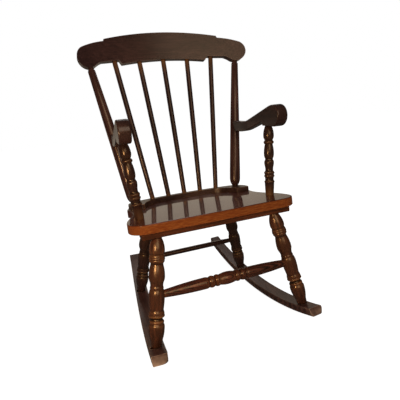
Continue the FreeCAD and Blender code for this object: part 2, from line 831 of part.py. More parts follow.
for number in range(1, 6):
    step = number - 3
    head_x = step * CREST_SPINDLE_PITCH_share * S.crest_half_width
    stand_in_back(f"spindle_{number}", step * S.spindle_foot_pitch, head_x, crest_underside(head_x),
                  S.spindle_head_gap, "spindle_radius", SPINDLE_SHARES,
                  ("spindle_tenon_radius", "back_foot_depth"), ("spindle_tenon_radius", "spindle_head_depth"))
post_head_x = CREST_POST_share * S.crest_half_width
back_posts = {}
for side_name, side in SIDES.items():
    back_posts[side_name] = stand_in_back(
        f"back_post_{side_name}", side * S.post_foot_x, side * post_head_x, 0, S.post_head_gap,
        "post_radius", POST_SHARES, ("post_foot_radius", "back_foot_depth"),
        ("post_tenon_radius", "post_head_depth"))

# Arms: sawn from board, rolled over at the front, resting on turned posts and butted to the back posts.


def arm_places(side):
    """The back post's ends, where the arm meets its axis, and the arm post's foot and head."""
    low, high = on_rail(side * S.post_foot_x), on_crest(side * post_head_x, 0)
    joint = low + (high - low).normalize() * S.arm_back_rise
    post_foot = seat_frame.multVec(Vector(side * S.arm_post_x, ARM_POST_DEPTH_share * S.seat_depth, 0))
    head = Vector(joint.x, post_foot.y + S.arm_post_lean, post_foot.z + S.arm_post_height)
    return low, high, joint, post_foot, head


def post_radius_at(rise, length):
    """A back post's radius at a distance up its axis, on the taper that the arm meets."""
    thick_at, thin_at = POST_SHARES[3], POST_SHARES[4]
    share = (rise / length - thick_at[0]) / (thin_at[0] - thick_at[0])
    return S.post_radius * (thick_at[1] + (thin_at[1] - thick_at[1]) * share)


def eased(before, corner, after, radius):
    """Two corners of an outline: the ends of an arc that rounds the corner between two lines."""
    back, forth = (before - corner).normalize(), (after - corner).normalize()
    half = back.getAngle(forth) / 2
    reach = radius / math.tan(half)
    inward = (back + forth).normalize()
    middle = corner + inward * (radius / math.sin(half) - radius)
    return [(corner + back * reach, None, None), (corner + forth * reach, middle, None)]


def arch_corner(start, aim, radius):
    """The corner whose rounding starts, level, at one point and whose far side goes to another."""
    sight = aim - start + Vector(0, radius, 0)
    turn = math.atan2(sight.x, sight.y) - math.acos(radius / sight.Length)
    return start + Vector(radius * math.tan(turn / 2), 0, 0)


def arm_outline(span, drop):
    """Side view from the post's head: Y runs back. drop is how far the back joint lies below it."""
    back_top, back_under = S.arm_depth / 2 - drop, -S.arm_depth / 2 - drop
    roll = Vector(-S.arm_roll_reach, S.arm_roll_radius, 0)
    roll_top, roll_under = roll + Vector(0, S.arm_roll_radius, 0), roll - Vector(0, S.arm_roll_radius, 0)
    end_top, end_under = Vector(span, back_top, 0), Vector(span, back_under, 0)
    knee = Vector(ARM_KNEE_share * span, back_top, 0)
    brow = Vector(-S.arm_brow_lead, roll_top.y, 0)
    step = Vector(S.arm_pad_length + S.arm_pad_slope, S.arm_pad_step, 0)
    elbow = Vector(ARM_ELBOW_share * span, back_under, 0)
    arch = arch_corner(step + Vector(S.arm_arch_flat, 0, 0), elbow, S.arm_arch_radius)
    return [
        (end_top, None, None),
        *eased(end_top, knee, brow, S.arm_knee_radius),
        *eased(knee, brow, roll_top, S.arm_brow_radius),
        (roll_top, None, None),
        (roll_under, roll - Vector(S.arm_roll_radius, 0, 0), None),
        (Vector(S.arm_pad_length, 0, 0), None, ("Sizes.arm_pad_length", None)),
        (step, None, ("Sizes.arm_pad_length + Sizes.arm_pad_slope", "Sizes.arm_pad_step")),
        *eased(step, arch, elbow, S.arm_arch_radius),
        *eased(arch, elbow, end_under, S.arm_elbow_radius),
        (end_under, None, None),
    ]


arms = {}
for side_name, side in SIDES.items():
    post_low, post_high, joint, post_foot, head = arm_places(side)
    arm = arms[side_name] = new_body(f"arm_{side_name}")
    arm_sketch = new_sketch(arm, "Side", "YZ_Plane")
    draw(arm_sketch, arm_outline(joint.y - head.y, head.z - joint.z))
    pad(arm, arm_sketch, "Sizes.arm_width", Midplane=True)
    sides = (S.arm_width / 2, -S.arm_width / 2)
    round_edges(arm, lambda edge: any(level(edge, "X", side_x) for side_x in sides), "Sizes.arm_round")
    arm.Placement = Placement(head, Rotation())
    doc.recompute()
    # the end is hollowed to the back post's taper
    post_length = (post_high - post_low).Length - S.post_head_gap
    low_rise, high_rise = S.arm_back_rise - S.arm_depth, S.arm_back_rise + S.arm_depth
    cone_bore(arm, between(post_low, post_high), low_rise, high_rise,
              post_radius_at(low_rise, post_length) + S.glue_gap,
              post_radius_at(high_rise, post_length) + S.glue_gap)
    # the turned post under the arm
    lean = (head - post_foot).normalize()
    shoulder_drop = S.arm_post_radius * math.tan(math.acos(lean.z)) + S.arm_seat_gap
    top = head - lean * shoulder_drop
    turned(f"arm_post_{side_name}", post_foot, top, "arm_post_radius", ARM_POST_SHARES,
           ("arm_post_foot_radius", "arm_post_tenon_depth"),
           ("arm_post_tenon_radius", "arm_post_tenon_depth"))
    frame = between(post_foot, top)
    tall = (top - post_foot).Length
    bore(seat, frame, -S.arm_post_tenon_depth - S.end_gap, S.overrun,
         "Sizes.arm_post_foot_radius + Sizes.glue_gap")
    bore(arm, frame, tall - S.end_gap, tall + S.arm_post_tenon_depth + S.end_gap,
         "Sizes.arm_post_tenon_radius + Sizes.glue_gap")

# Screws: six hold the battens, one stands under each leg, and one behind each back post, under a plug.


def on_frame(frame, height):
    return frame * Placement(Vector(0, 0, height), Rotation())


def solid(kind, name, frame, **words):
    """A round solid that stands on a frame, its sizes bound to the sheet."""
    item = doc.addObject(kind, name)
    bind(item, **words)
    item.Placement = frame
    return item


def countersink(body, place, length):
    """Cut a screw's hole along the Z axis of place, as wide as the head from there outwards."""
    offset = body.Placement.inverse() * place * Placement(Vector(), Rotation(Vector(1, 0, 0), 90))
    sketch = new_sketch(body, "Hole", "XY_Plane", offset)
    mouth, shank = S.screw_head_radius + S.glue_gap, S.screw_radius + S.glue_gap
    wide, narrow = "Sizes.screw_head_radius + Sizes.glue_gap", "Sizes.screw_radius + Sizes.glue_gap"
    tip = getattr(S, length) + S.end_gap
    draw(sketch, [
        (Vector(0, -S.overrun, 0), None, None),
        (Vector(mouth, -S.overrun, 0), None, (wide, "-Sizes.overrun")),
        (Vector(mouth, 0, 0), None, (wide, None)),
        (Vector(shank, S.screw_head_height, 0), None, (narrow, "Sizes.screw_head_height")),
        (Vector(shank, tip, 0), None, (narrow, f"Sizes.{length} + Sizes.end_gap")),
        (Vector(0, tip, 0), None, None),
    ])
    before = body.Shape.Volume
    hole = body.newObject("PartDesign::Groove", "Countersink")
    hole.Profile = sketch
    hole.ReferenceAxis = (sketch, ["V_Axis"])
    hole.Angle = 360
    doc.recompute()
    if body.Shape.Volume >= before:
        raise ValueError(f"{body.Label}: the countersink cuts nothing")


def drive_screw(name, place, length, outer, inner):
    """A countersunk screw along the Z axis of place, and its hole through the two pieces it joins."""
    countersink(outer, place, length)
    bore(inner, place, -S.overrun, getattr(S, length) + S.end_gap, "Sizes.screw_radius + Sizes.glue_gap")
    head = solid("Part::Cone", f"{name}_head", place, Radius1="Sizes.screw_head_radius",
                 Radius2="Sizes.screw_radius", Height="Sizes.screw_head_height")
    shank = solid("Part::Cylinder", f"{name}_shank", place, Radius="Sizes.screw_radius",
                  Height=f"Sizes.{length}")
    screw = doc.addObject("Part::MultiFuse", name)
    screw.Shapes = [head, shank]
    return screw


def group(label, members):
    """Like pieces that share one node, each a solid by itself."""
    whole = doc.addObject("Part::Compound", label)
    whole.Label = label
    whole.Links = members


def drive_batten_screws():
    under = -S.seat_thick - S.batten_thick
    for board, rear, spread in ((batten_front, False, S.front_batten_screw_x),
                                (batten_rear, True, S.rear_batten_screw_x)):
        for x in (-spread, 0, spread):
            place = seat_frame * Placement(Vector(x, batten_middle(rear), under), Rotation())
            yield drive_screw("batten_screw", place, "batten_screw_length", board, seat)


def drive_rocker_screws():
    for (end_name, side_name), leg in legs.items():
        frame = between(*leg_ends(SIDES[side_name], end_name == "rear"))
        place = on_frame(frame, S.rocker_counterbore_depth - S.rocker_thick)
        yield drive_screw("rocker_screw", place, "rocker_screw_length", rockers[side_name], leg)


def drive_arm_screws():
    """Screws and plugs by turns, through each back post from behind into the arm's end."""
    for side_name, side in SIDES.items():
        low, high, joint = arm_places(side)[:3]
        radius = post_radius_at(S.arm_back_rise, (high - low).Length - S.post_head_gap)
        back = between(joint + Vector(0, radius, 0), joint)
        place = on_frame(back, S.arm_counterbore_depth)
        yield drive_screw("arm_screw", place, "arm_screw_length", back_posts[side_name], arms[side_name])
        yield solid("Part::Cylinder", "arm_plug", back, Radius="Sizes.screw_head_radius",
                    Height="Sizes.plug_thick")


group("batten_screws", list(drive_batten_screws()))
group("rocker_screws", list(drive_rocker_screws()))
arm_fixings = list(drive_arm_screws())
group("arm_screws", arm_fixings[0::2])
group("arm_screw_plugs", arm_fixings[1::2])

# Every piece is checked before any is written.
pieces = [item for item in doc.Objects if item.TypeId in ("PartDesign::Body", "Part::Compound")]
doc.recompute()
for item in doc.Objects:
    if "Invalid" in item.State or "Error" in item.State:
        raise ValueError(f"{item.Name} ({item.Label}) is {item.State}")
for item in pieces:
    if item.Shape.isNull() or not item.Shape.isValid():
        raise ValueError(f"{item.Label} has no valid shape")
    item.Shape.exportStep(f"parts/{item.Label}.step")
print(len(pieces), "pieces")
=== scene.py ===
# %% [markdown]
# # A turned and sawn rocking armchair
#
# The real chair is a dark, glossy rocking armchair of turned and sawn hardwood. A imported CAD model
# holds its sizes, and this scene gives it its looks. The solids could be rendered as they are, with
# new materials only, but they have knife-sharp edges, and used wood is known by its rounded and rubbed
# ones. So the pieces are made again over the solids: turnings spun from a profile, and boards with
# worked edges. Everything is in metres and in the model's own frame: X is the chair's width, -Y its
# front, Z up, and the floor is at zero.

import math

import bmesh
import bpy
from mathutils import Matrix, Quaternion, Vector


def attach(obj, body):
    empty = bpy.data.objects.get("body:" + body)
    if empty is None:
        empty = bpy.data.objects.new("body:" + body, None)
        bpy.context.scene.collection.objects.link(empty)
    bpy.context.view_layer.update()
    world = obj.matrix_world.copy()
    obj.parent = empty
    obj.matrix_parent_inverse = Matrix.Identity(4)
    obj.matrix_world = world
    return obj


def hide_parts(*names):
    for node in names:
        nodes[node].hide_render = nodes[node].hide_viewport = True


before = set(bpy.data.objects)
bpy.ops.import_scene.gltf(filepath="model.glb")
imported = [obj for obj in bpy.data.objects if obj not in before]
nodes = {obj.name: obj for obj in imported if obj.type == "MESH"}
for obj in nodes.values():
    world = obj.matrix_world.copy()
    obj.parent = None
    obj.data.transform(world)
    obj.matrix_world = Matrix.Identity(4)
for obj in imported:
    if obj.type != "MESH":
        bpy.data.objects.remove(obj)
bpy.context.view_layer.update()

# %% [markdown]
# ## The camera
#
# The photograph was taken from in front of the chair, to the viewer's left of its middle and from
# above the seat, with a slight tilt of the horizon. Such a camera could be placed by eye, but then
# every piece would seem a little wrong. These numbers were fitted to points of the photograph
# instead, and they keep the units of that fit: millimetres, degrees, and pixels of a frame of 400.

# %% Camera
FRAME_PIXELS = 400
CAMERA_PLACE = Vector((-382.8, -1213.6, 742.8)) / 1000
YAW, PITCH, ROLL = (math.radians(turn) for turn in (-19.524, -15.238, -4.737))
FOCAL_PIXELS = 372.48
CENTRE_PIXELS = (207.918, 197.519)
SENSOR_WIDTH = 36

ahead = Vector((-math.sin(YAW) * math.cos(PITCH), math.cos(YAW) * math.cos(PITCH), math.sin(PITCH)))
level = Vector((math.cos(YAW), math.sin(YAW), 0))
upright = level.cross(ahead)
right = level * math.cos(ROLL) + upright * math.sin(ROLL)
up = upright * math.cos(ROLL) - level * math.sin(ROLL)

lens = bpy.data.cameras.new("camera")
lens.sensor_width = SENSOR_WIDTH
lens.lens = SENSOR_WIDTH * FOCAL_PIXELS / FRAME_PIXELS
lens.shift_x = 0.5 - CENTRE_PIXELS[0] / FRAME_PIXELS
lens.shift_y = CENTRE_PIXELS[1] / FRAME_PIXELS - 0.5
camera = bpy.data.objects.new("camera", lens)
turn = Matrix((right, up, -ahead)).transposed().to_4x4()
camera.matrix_world = Matrix.Translation(CAMERA_PLACE) @ turn
bpy.context.scene.collection.objects.link(camera)
bpy.context.scene.camera = camera
bpy.context.scene.view_settings.view_transform = "Standard"
print("lens", round(lens.lens, 2), "mm at", tuple(round(c, 3) for c in CAMERA_PLACE))

# %% [markdown]
# ## Colours and nodes
#
# A material is a graph of nodes. Written out in full, each node takes several lines, and the recipe
# is lost among them. `add_node` makes one node, sets its properties and fills or links its sockets,
# so that each material below reads as a list of what is mixed with what. Colours are written as sRGB
# hex and turned to the linear values that the shader wants.


# %% Colours and nodes
def linear(code):
    """A linear colour from sRGB hex such as 8a3c14."""
    shares = [int(code[start:start + 2], 16) / 255 for start in (0, 2, 4)]
    return [c / 12.92 if c <= 0.04045 else ((c + 0.055) / 1.055) ** 2.4 for c in shares] + [1.0]


def grey(shade):
    """An opaque grey from a linear value."""
    return [shade, shade, shade, 1.0]


def add_node(tree, kind, settings=None, stops=(), **inputs):
    """A shader node of a kind, such as Math. stops are a ramp's places and colours. An input has its
    socket's name, or _0, _1 for its number, and takes a value, an output, or a node for its first one."""
    node = tree.nodes.new(f"ShaderNode{kind}")
    for name, value in (settings or {}).items():
        setattr(node, name, value)
    elements = node.color_ramp.elements if stops else []
    while len(elements) < len(stops):
        elements.new(0.5)
    for element, (place, colour) in zip(elements, stops):
        element.position = place
        element.color = colour
    for name, value in inputs.items():
        wanted = name.replace("_", " ")
        if name[1:].isdigit():
            socket = node.inputs[int(name[1:])]
        else:
            socket = next(entry for entry in node.inputs if entry.enabled and entry.name == wanted)
        if isinstance(value, bpy.types.Node):
            value = next(output for output in value.outputs if output.enabled)
        if isinstance(value, bpy.types.NodeSocket):
            tree.links.new(value, socket)
        else:
            socket.default_value = value
    return node


def bare_material(name):
    """A material whose node tree is still empty."""
    material = bpy.data.materials.new(name)
    material.use_nodes = True
    material.node_tree.nodes.clear()
    return material


print("8a3c14 is", [round(share, 3) for share in linear("8a3c14")], "in linear light")

# %% [markdown]
# ## The grain of the wood
#
# The chair is a close-grained hardwood, such as maple or birch. What shows of its grain are pores,
# darker streaks, growth rings, and broad blotches where the stain took unevenly, and all of them are
# long in the direction of the fibres. A picture of wood could be wrapped round each piece, but it
# would stretch and show seams on the turnings. Noise is computed in space and has no seams, so it is
# used here, read at one scale across the grain and at a longer one along it. Each piece carries its
# own attribute `grain`, a frame whose Z runs along the wood.

# %% Grain
MILLIMETRE = 0.001
NOISES = {
    # name: width across the grain, length in such widths, detail, roughness
    "streaks": (5 * MILLIMETRE, 26, 4.0, 0.62),
    # Real pores are about 0.1 mm wide. They are drawn coarser, so that they show.
    "pores": (0.9 * MILLIMETRE, 26, 2.0, 0.6),
    "blotches": (60 * MILLIMETRE, 2.2, 3.0, 0.5),
}
RING_WIDTH, RING_STRETCH = 3.2 * MILLIMETRE, 14


def along_grain(tree, place, width, stretch):
    """Coordinates in which one unit is width across the grain and stretch times that along it."""
    scale = (1 / width, 1 / width, 1 / (width * stretch))
    return add_node(tree, "Mapping", {"vector_type": "POINT"}, Vector=place, Scale=scale)


def grain_patterns(tree, seed):
    """The wood's patterns by name, from 0 to 1. The seed moves a piece to another part of the noise."""
    place = add_node(tree, "Attribute", {"attribute_name": "grain"}).outputs["Vector"]
    place = add_node(tree, "VectorMath", {"operation": "ADD"}, _0=place, _1=(seed, seed, seed))
    patterns = {}
    for name, (width, stretch, detail, roughness) in NOISES.items():
        patterns[name] = add_node(tree, "TexNoise", Vector=along_grain(tree, place, width, stretch),
                                  Scale=1.0, Detail=detail, Roughness=roughness).outputs["Fac"]
    rings = add_node(tree, "TexWave", {"wave_type": "BANDS", "bands_direction": "X"},
                     Vector=along_grain(tree, place, RING_WIDTH, RING_STRETCH), Scale=0.5, Distortion=3.2,
                     Detail=2.0, Detail_Scale=0.55, Detail_Roughness=0.5)
    patterns["rings"] = rings.outputs["Fac"]
    return patterns


print(len(NOISES), "noises, growth rings every", round(RING_WIDTH / MILLIMETRE, 1), "mm")

# %% [markdown]
# ## Stain
#
# The wood was stained before it was varnished, and stain follows the grain: it sinks into soft
# streaks and pores and lies thin on hard wood. A single brown with some noise on it would look like
# paint. So the patterns are first summed to one tone, and a ramp turns that tone into three browns,
# from where the stain is deepest to where it is thinnest.

# %% Stain
STREAK_GAIN, STREAK_LIFT = 0.9, 0.05
BLOTCH_SHARE = 0.35
STAIN_PLACES = (0.30, 0.50, 0.72)
PORE_EDGE, PORE_END, PORE_SHADE = 0.34, 0.50, 0.55


def stained(tree, patterns, stain, figure, pore_depth):
    """Three stain colours, deep to thin, laid over the grain. figure is how strongly the rings show."""
    tone = add_node(tree, "Math", {"operation": "MULTIPLY_ADD"}, _0=patterns["streaks"],
                    _1=STREAK_GAIN, _2=STREAK_LIFT)
    tone = add_node(tree, "Mix", {"data_type": "FLOAT"}, Factor=figure, A=tone, B=patterns["rings"])
    tone = add_node(tree, "Mix", {"data_type": "FLOAT"}, Factor=BLOTCH_SHARE, A=tone,
                    B=patterns["blotches"])
    colour = add_node(tree, "ValToRGB", Fac=tone,
                      stops=[(place, linear(shade)) for place, shade in zip(STAIN_PLACES, stain)])
    fine = add_node(tree, "ValToRGB", Fac=patterns["pores"],
                    stops=[(PORE_EDGE, grey(PORE_SHADE)), (PORE_END, grey(1.0))])
    return add_node(tree, "Mix", {"data_type": "RGBA", "blend_type": "MULTIPLY"},
                    Factor=pore_depth, A=colour, B=fine)


print("stain in", len(STAIN_PLACES), "browns")

# %% [markdown]
# ## The pale edge of the seat
#
# The seat's top mirrors the room, but its front edge is a warm, pale brown, as wood is where stain and
# varnish have worn thin. It could be a second material on those faces, with a hard border between the
# two. A mix by how upright a face stands, and by how far forward it lies, leaves a soft one. The fade
# by how far forward a side lies is painted light: the sides are paler towards the front and darker
# further back, as the lamps fall on them.

# %% Pale edge
SIDE_UPRIGHT, SIDE_LEVEL = 0.35, 0.90
# The fade towards the front is painted light. From SIDE_START forwards the sides grow paler, fully so at
# SIDE_FULL, and further back they keep SIDE_LEAST of it.
SIDE_START, SIDE_FULL, SIDE_LEAST = -0.06, -0.15, 0.1
SIDE_PLACES = (0.36, 0.5, 0.66)
SIDE_PORES = 0.8


def side_share(tree):
    """1 where a face stands upright, 0 where it lies level."""
    facing = add_node(tree, "NewGeometry").outputs["True Normal"]
    rise = add_node(tree, "SeparateXYZ", Vector=facing).outputs["Z"]
    rise = add_node(tree, "Math", {"operation": "ABSOLUTE"}, _0=rise)
    return add_node(tree, "ValToRGB", Fac=rise,
                    stops=[(SIDE_UPRIGHT, grey(1.0)), (SIDE_LEVEL, grey(0.0))])


def pale_at_front(tree, patterns, colour, sideways, shades):
    """Worn stain on the sides of a board, faded in towards its front by painted light."""
    place = add_node(tree, "TexCoord").outputs["Object"]
    depth = add_node(tree, "SeparateXYZ", Vector=place).outputs["Y"]
    # Painted light: the sides are paler towards the front, where the lamps fall on them.
    front = add_node(tree, "MapRange", Value=depth, From_Min=SIDE_START, From_Max=SIDE_FULL,
                     To_Min=SIDE_LEAST)
    tone = add_node(tree, "Mix", {"data_type": "FLOAT"}, Factor=SIDE_PORES,
                    A=patterns["streaks"], B=patterns["pores"])
    pale = add_node(tree, "ValToRGB", Fac=tone,
                    stops=[(place, linear(shade)) for place, shade in zip(SIDE_PLACES, shades)])
    share = add_node(tree, "Math", {"operation": "MULTIPLY"}, _0=sideways, _1=front)
    return add_node(tree, "Mix", {"data_type": "RGBA"}, Factor=share, A=colour, B=pale)


print("the seat's edge is pale from", SIDE_FULL, "m forwards")

# %% [markdown]
# ## Dirt, painted shade and wear
#
# Old polish gathers where a cloth doesn't reach, in the grooves of the turnings, and hands and feet rub
# the edges down to paler wood. The inner corners where pieces meet are darkened as well, and that is
# painted shade: ambient occlusion darkens what lies close to other surfaces, where shade falls. All of
# it could be painted by hand, and again whenever a shape changes. Here the shape itself says where it
# belongs. The turnings carry two attributes, `groove` and `crown`, ambient occlusion finds the inner
# corners, and the Bevel node finds the sharp edges, because there the softened normal differs from the
# true one.

# %% Dirt, painted shade and wear
# Ambient occlusion within this reach darkens the inner corners, which is painted shade. The darkening colour
# and share below serve both that shade and the dirt in the grooves.
CORNER_REACH = 6 * MILLIMETRE
CORNER_DEEP, CORNER_OPEN = 0.25, 0.85
SHADE_AND_DIRT_COLOUR, SHADE_AND_DIRT_SHARE = linear("0d0605"), 0.85
RUBBED_EDGE = 4.5 * MILLIMETRE
EDGE_SHARP, EDGE_FLAT = 0.80, 0.985
PATCH_START, PATCH_END, PATCH_LEAST = 0.40, 0.62, 0.25
LOOK_SAMPLES = 6


def darkened(tree, colour):
    """Dirt in the grooves, and painted shade in the inner corners."""
    groove = add_node(tree, "Attribute", {"attribute_name": "groove"}).outputs["Fac"]
    # Ambient occlusion darkens the inner corners as shade would: this part is painted shade.
    corner = add_node(tree, "AmbientOcclusion", {"samples": LOOK_SAMPLES}, Distance=CORNER_REACH)
    hidden = add_node(tree, "ValToRGB", Fac=corner.outputs["AO"],
                      stops=[(CORNER_DEEP, grey(1.0)), (CORNER_OPEN, grey(0.0))])
    shade_and_dirt = add_node(tree, "Math", {"operation": "MAXIMUM"}, _0=groove, _1=hidden)
    share = add_node(tree, "Math", {"operation": "MULTIPLY"}, _0=shade_and_dirt, _1=SHADE_AND_DIRT_SHARE)
    return add_node(tree, "Mix", {"data_type": "RGBA"}, Factor=share, A=colour, B=SHADE_AND_DIRT_COLOUR)


def rubbed_bare(tree, patterns, colour, bare, wear):
    """Paler wood on edges and crowns, in patches."""
    normal = add_node(tree, "NewGeometry").outputs["Normal"]
    soft = add_node(tree, "Bevel", {"samples": LOOK_SAMPLES}, Radius=RUBBED_EDGE)
    likeness = add_node(tree, "VectorMath", {"operation": "DOT_PRODUCT"}, _0=soft, _1=normal)
    edge = add_node(tree, "ValToRGB", Fac=likeness.outputs["Value"],
                    stops=[(EDGE_SHARP, grey(1.0)), (EDGE_FLAT, grey(0.0))])
    crown = add_node(tree, "Attribute", {"attribute_name": "crown"}).outputs["Fac"]
    worn = add_node(tree, "Math", {"operation": "MAXIMUM"}, _0=edge, _1=crown)
    patchy = add_node(tree, "ValToRGB", Fac=patterns["blotches"],
                      stops=[(PATCH_START, grey(PATCH_LEAST)), (PATCH_END, grey(1.0))])
    worn = add_node(tree, "Math", {"operation": "MULTIPLY"}, _0=worn, _1=patchy)
    worn = add_node(tree, "Math", {"operation": "MULTIPLY"}, _0=worn, _1=wear)
    return add_node(tree, "Mix", {"data_type": "RGBA"}, Factor=worn, A=colour, B=linear(bare))


# How far the painted shade in the inner corners reaches.
print("dirt within", round(CORNER_REACH / MILLIMETRE), "mm of a corner")

# %% [markdown]
# ## Varnish
#
# Over the stain lies a clear varnish. It could be faked with a low roughness alone, but a varnish is
# a second surface over the wood, so the shader gets a coat where the gloss is strong, with an index
# of refraction of 1.5. Under it the roughness varies a little with the streaks, which breaks up the
# highlights as grain does, and a shallow relief lets the grain catch the light.

# %% Varnish
VARNISH_IOR = 1.5
DULL_START, DULL_END = 0.30, 0.70
DULLER, GLOSSIER = 0.03, 0.02
RELIEF_DEPTH, RELIEF_PORES = 0.06 * MILLIMETRE, 0.35
WARM_GLINT = linear("ffd4a2")
SIDE_COAT = 0.1


def varnished_wood(name, stain, bare, figure, wear, roughness, coat, seed, relief=0.12, shine=0.35,
                   pore_depth=0.7, coat_roughness=0.2, pale_sides=None):
    """Stained hardwood under varnish. stain is three colours, deep to thin, bare the colour of a rubbed
    edge, and pale_sides three colours for a board's front edge, which has lost most of its coat. Painted
    light fades these in towards the front."""
    material = bare_material(name)
    tree = material.node_tree
    patterns = grain_patterns(tree, seed)
    colour = stained(tree, patterns, stain, figure, pore_depth)
    if pale_sides:
        sideways = side_share(tree)
        colour = pale_at_front(tree, patterns, colour, sideways, pale_sides)
        coat = add_node(tree, "ValToRGB", Fac=sideways,
                        stops=[(0.0, grey(coat)), (1.0, grey(SIDE_COAT * coat))]).outputs["Color"]
    # Dirt in the grooves and painted shade in the inner corners.
    colour = darkened(tree, colour)
    colour = rubbed_bare(tree, patterns, colour, bare, wear)
    dull = add_node(tree, "ValToRGB", Fac=patterns["streaks"],
                    stops=[(DULL_START, grey(roughness + DULLER)), (DULL_END, grey(roughness - GLOSSIER))])
    height = add_node(tree, "Mix", {"data_type": "RGBA"}, Factor=RELIEF_PORES,
                      A=patterns["streaks"], B=patterns["pores"])
    bump = add_node(tree, "Bump", Strength=relief, Distance=RELIEF_DEPTH, Height=height)
    shader = add_node(tree, "BsdfPrincipled", Base_Color=colour, Roughness=dull, Normal=bump,
                      IOR=VARNISH_IOR, Coat_Weight=coat, Coat_Roughness=coat_roughness,
                      Coat_IOR=VARNISH_IOR, Specular_Tint=WARM_GLINT, Specular_IOR_Level=shine)
    add_node(tree, "OutputMaterial", Surface=shader)
    return material


print("varnish with an index of", VARNISH_IOR)

# %% [markdown]
# ## The chair's own finishes
#
# One wood could do for the whole chair. But boards and turnings take stain differently, sitters
# polish some pieces and feet scuff others, and the photograph shows each in its own brown. So there is
# one wood for each kind of piece, all made by the same function. Every seed differs, so that no two
# woods repeat each other's grain. The deeper brown given to the rear legs and the rear stretcher is
# painted shade.

# %% Finishes
WOODS = {
    # Sawn and planed seat board, thickly varnished: it mirrors the room.
    # Its pale sides are worn stain, and painted light makes them paler towards the front.
    "seat": varnished_wood(
        "varnished_seat_board", ("30120a", "46190d", "5c2413"), "a8602c", figure=0.25, wear=0.4,
        roughness=0.40, coat=1.0, seed=1.3, relief=0.0, shine=0.1, pore_depth=0.2, coat_roughness=0.05,
        pale_sides=("59240b", "713513", "8a5022")),
    # Sawn crest board: a cold, dark brown with a satin gloss.
    "crest": varnished_wood(
        "varnished_sawn_crest", ("180f10", "2f1c1b", "4a2f2a"), "8d6a5a", figure=0.25, wear=0.4,
        roughness=0.30, coat=0.15, seed=2.7, relief=0.03, pore_depth=0.5),
    # Sawn arms, polished by hands: the darkest brown, with broad soft reflections.
    "arm": varnished_wood(
        "dark_polished_arm", ("170d0c", "2d1a16", "482e26"), "7d5c4c", figure=0.2, wear=0.5,
        roughness=0.34, coat=0.4, seed=4.1, relief=0.04, pore_depth=0.4),
    # Curved rail on the seat: its top edge is rubbed.
    "rail": varnished_wood(
        "varnished_bent_rail", ("1a0e0c", "3a241d", "5c3f32"), "a07a50", figure=0.2, wear=0.8,
        roughness=0.34, coat=0.15, seed=4.7, shine=0.2),
    # Turned and sanded posts: smooth, with one long narrow highlight.
    "post": varnished_wood(
        "varnished_back_posts", ("1e100e", "3e231d", "603d33"), "8a5a40", figure=0.15, wear=0.5,
        roughness=0.24, coat=0.2, seed=5.3, relief=0.02, shine=0.5, pore_depth=0.4),
    # Thin turned spindles, in the same finish but darker.
    "back": varnished_wood(
        "varnished_spindles", ("190f0e", "301d1b", "4d322b"), "8a5a30", figure=0.15, wear=0.5,
        roughness=0.28, coat=0.1, seed=5.9, relief=0.04, pore_depth=0.4),
    # Turned front legs: chestnut, with small hard glints on every bead.
    "turned": varnished_wood(
        "varnished_leg_turnings", ("200f0a", "402115", "703a21"), "b0703a", figure=0.10, wear=0.4,
        roughness=0.26, coat=0.0, seed=7.3, relief=0.0, shine=0.9, pore_depth=0.25),
    # Turned arm posts, rear legs and rear stretcher: the same, in a deeper brown. On the rear legs and
    # the rear stretcher, which stand behind and under the seat, this deeper brown is painted shade.
    "rear": varnished_wood(
        "varnished_rear_turnings", ("180c0a", "2a1714", "412722"), "8a5a30", figure=0.10, wear=0.4,
        roughness=0.25, coat=0.0, seed=8.3, relief=0.0, shine=0.7, pore_depth=0.25),
    # Turned front stretcher: its growth rings show clearly.
    "stretcher": varnished_wood(
        "figured_front_stretcher", ("1b0c0a", "391d16", "632f20"), "a8642a", figure=0.45, wear=0.4,
        roughness=0.25, coat=0.0, seed=9.1, relief=0.01, shine=0.8, pore_depth=0.4),
    # Sawn battens under the seat: stained but hardly polished, so they look flat.
    "under": varnished_wood(
        "stained_under_battens", ("1c0c07", "4a2211", "70361a"), "7d4a28", figure=0.2, wear=0.3,
        roughness=0.40, coat=0.0, seed=11.5),
    # Sawn rockers, scuffed by feet and floor: their edges are rubbed to pale wood.
    "rocker": varnished_wood(
        "worn_rocker_wood", ("20110e", "402620", "66453a"), "b8967a", figure=0.25, wear=1.0,
        roughness=0.36, coat=0.25, seed=13.7, relief=0.05, shine=0.3),
}
print(len(WOODS), "woods")

# %% [markdown]
# ## Turnings
#
# Legs, posts, spindles and stretchers were turned on a lathe. They could be stacked from cylinders and
# tori, but a lathe leaves one profile all the way round, so each piece here is one profile spun round
# its axis. The profile is a list of (height, radius) points, as shares of the piece's length and of
# its largest radius. Next to a "round" point the curve is an arc that runs along the piece there, as a
# skew chisel leaves a bead or a swelling, and at an "edge" the profile breaks.

# %% A profile with arcs
ARC_STEPS = 7
LEAST_STEP = 1e-7


def arc_point(crown, end, share):
    """A point of the arc that runs along the piece at its crown and ends at end, both (height, radius)."""
    rise, fall = end[0] - crown[0], end[1] - crown[1]
    radius = (rise ** 2 + fall ** 2) / (2 * abs(fall))
    bend = radius - math.sqrt(max(radius ** 2 - (rise * share) ** 2, 0))
    return crown[0] + rise * share, crown[1] + math.copysign(bend, fall)


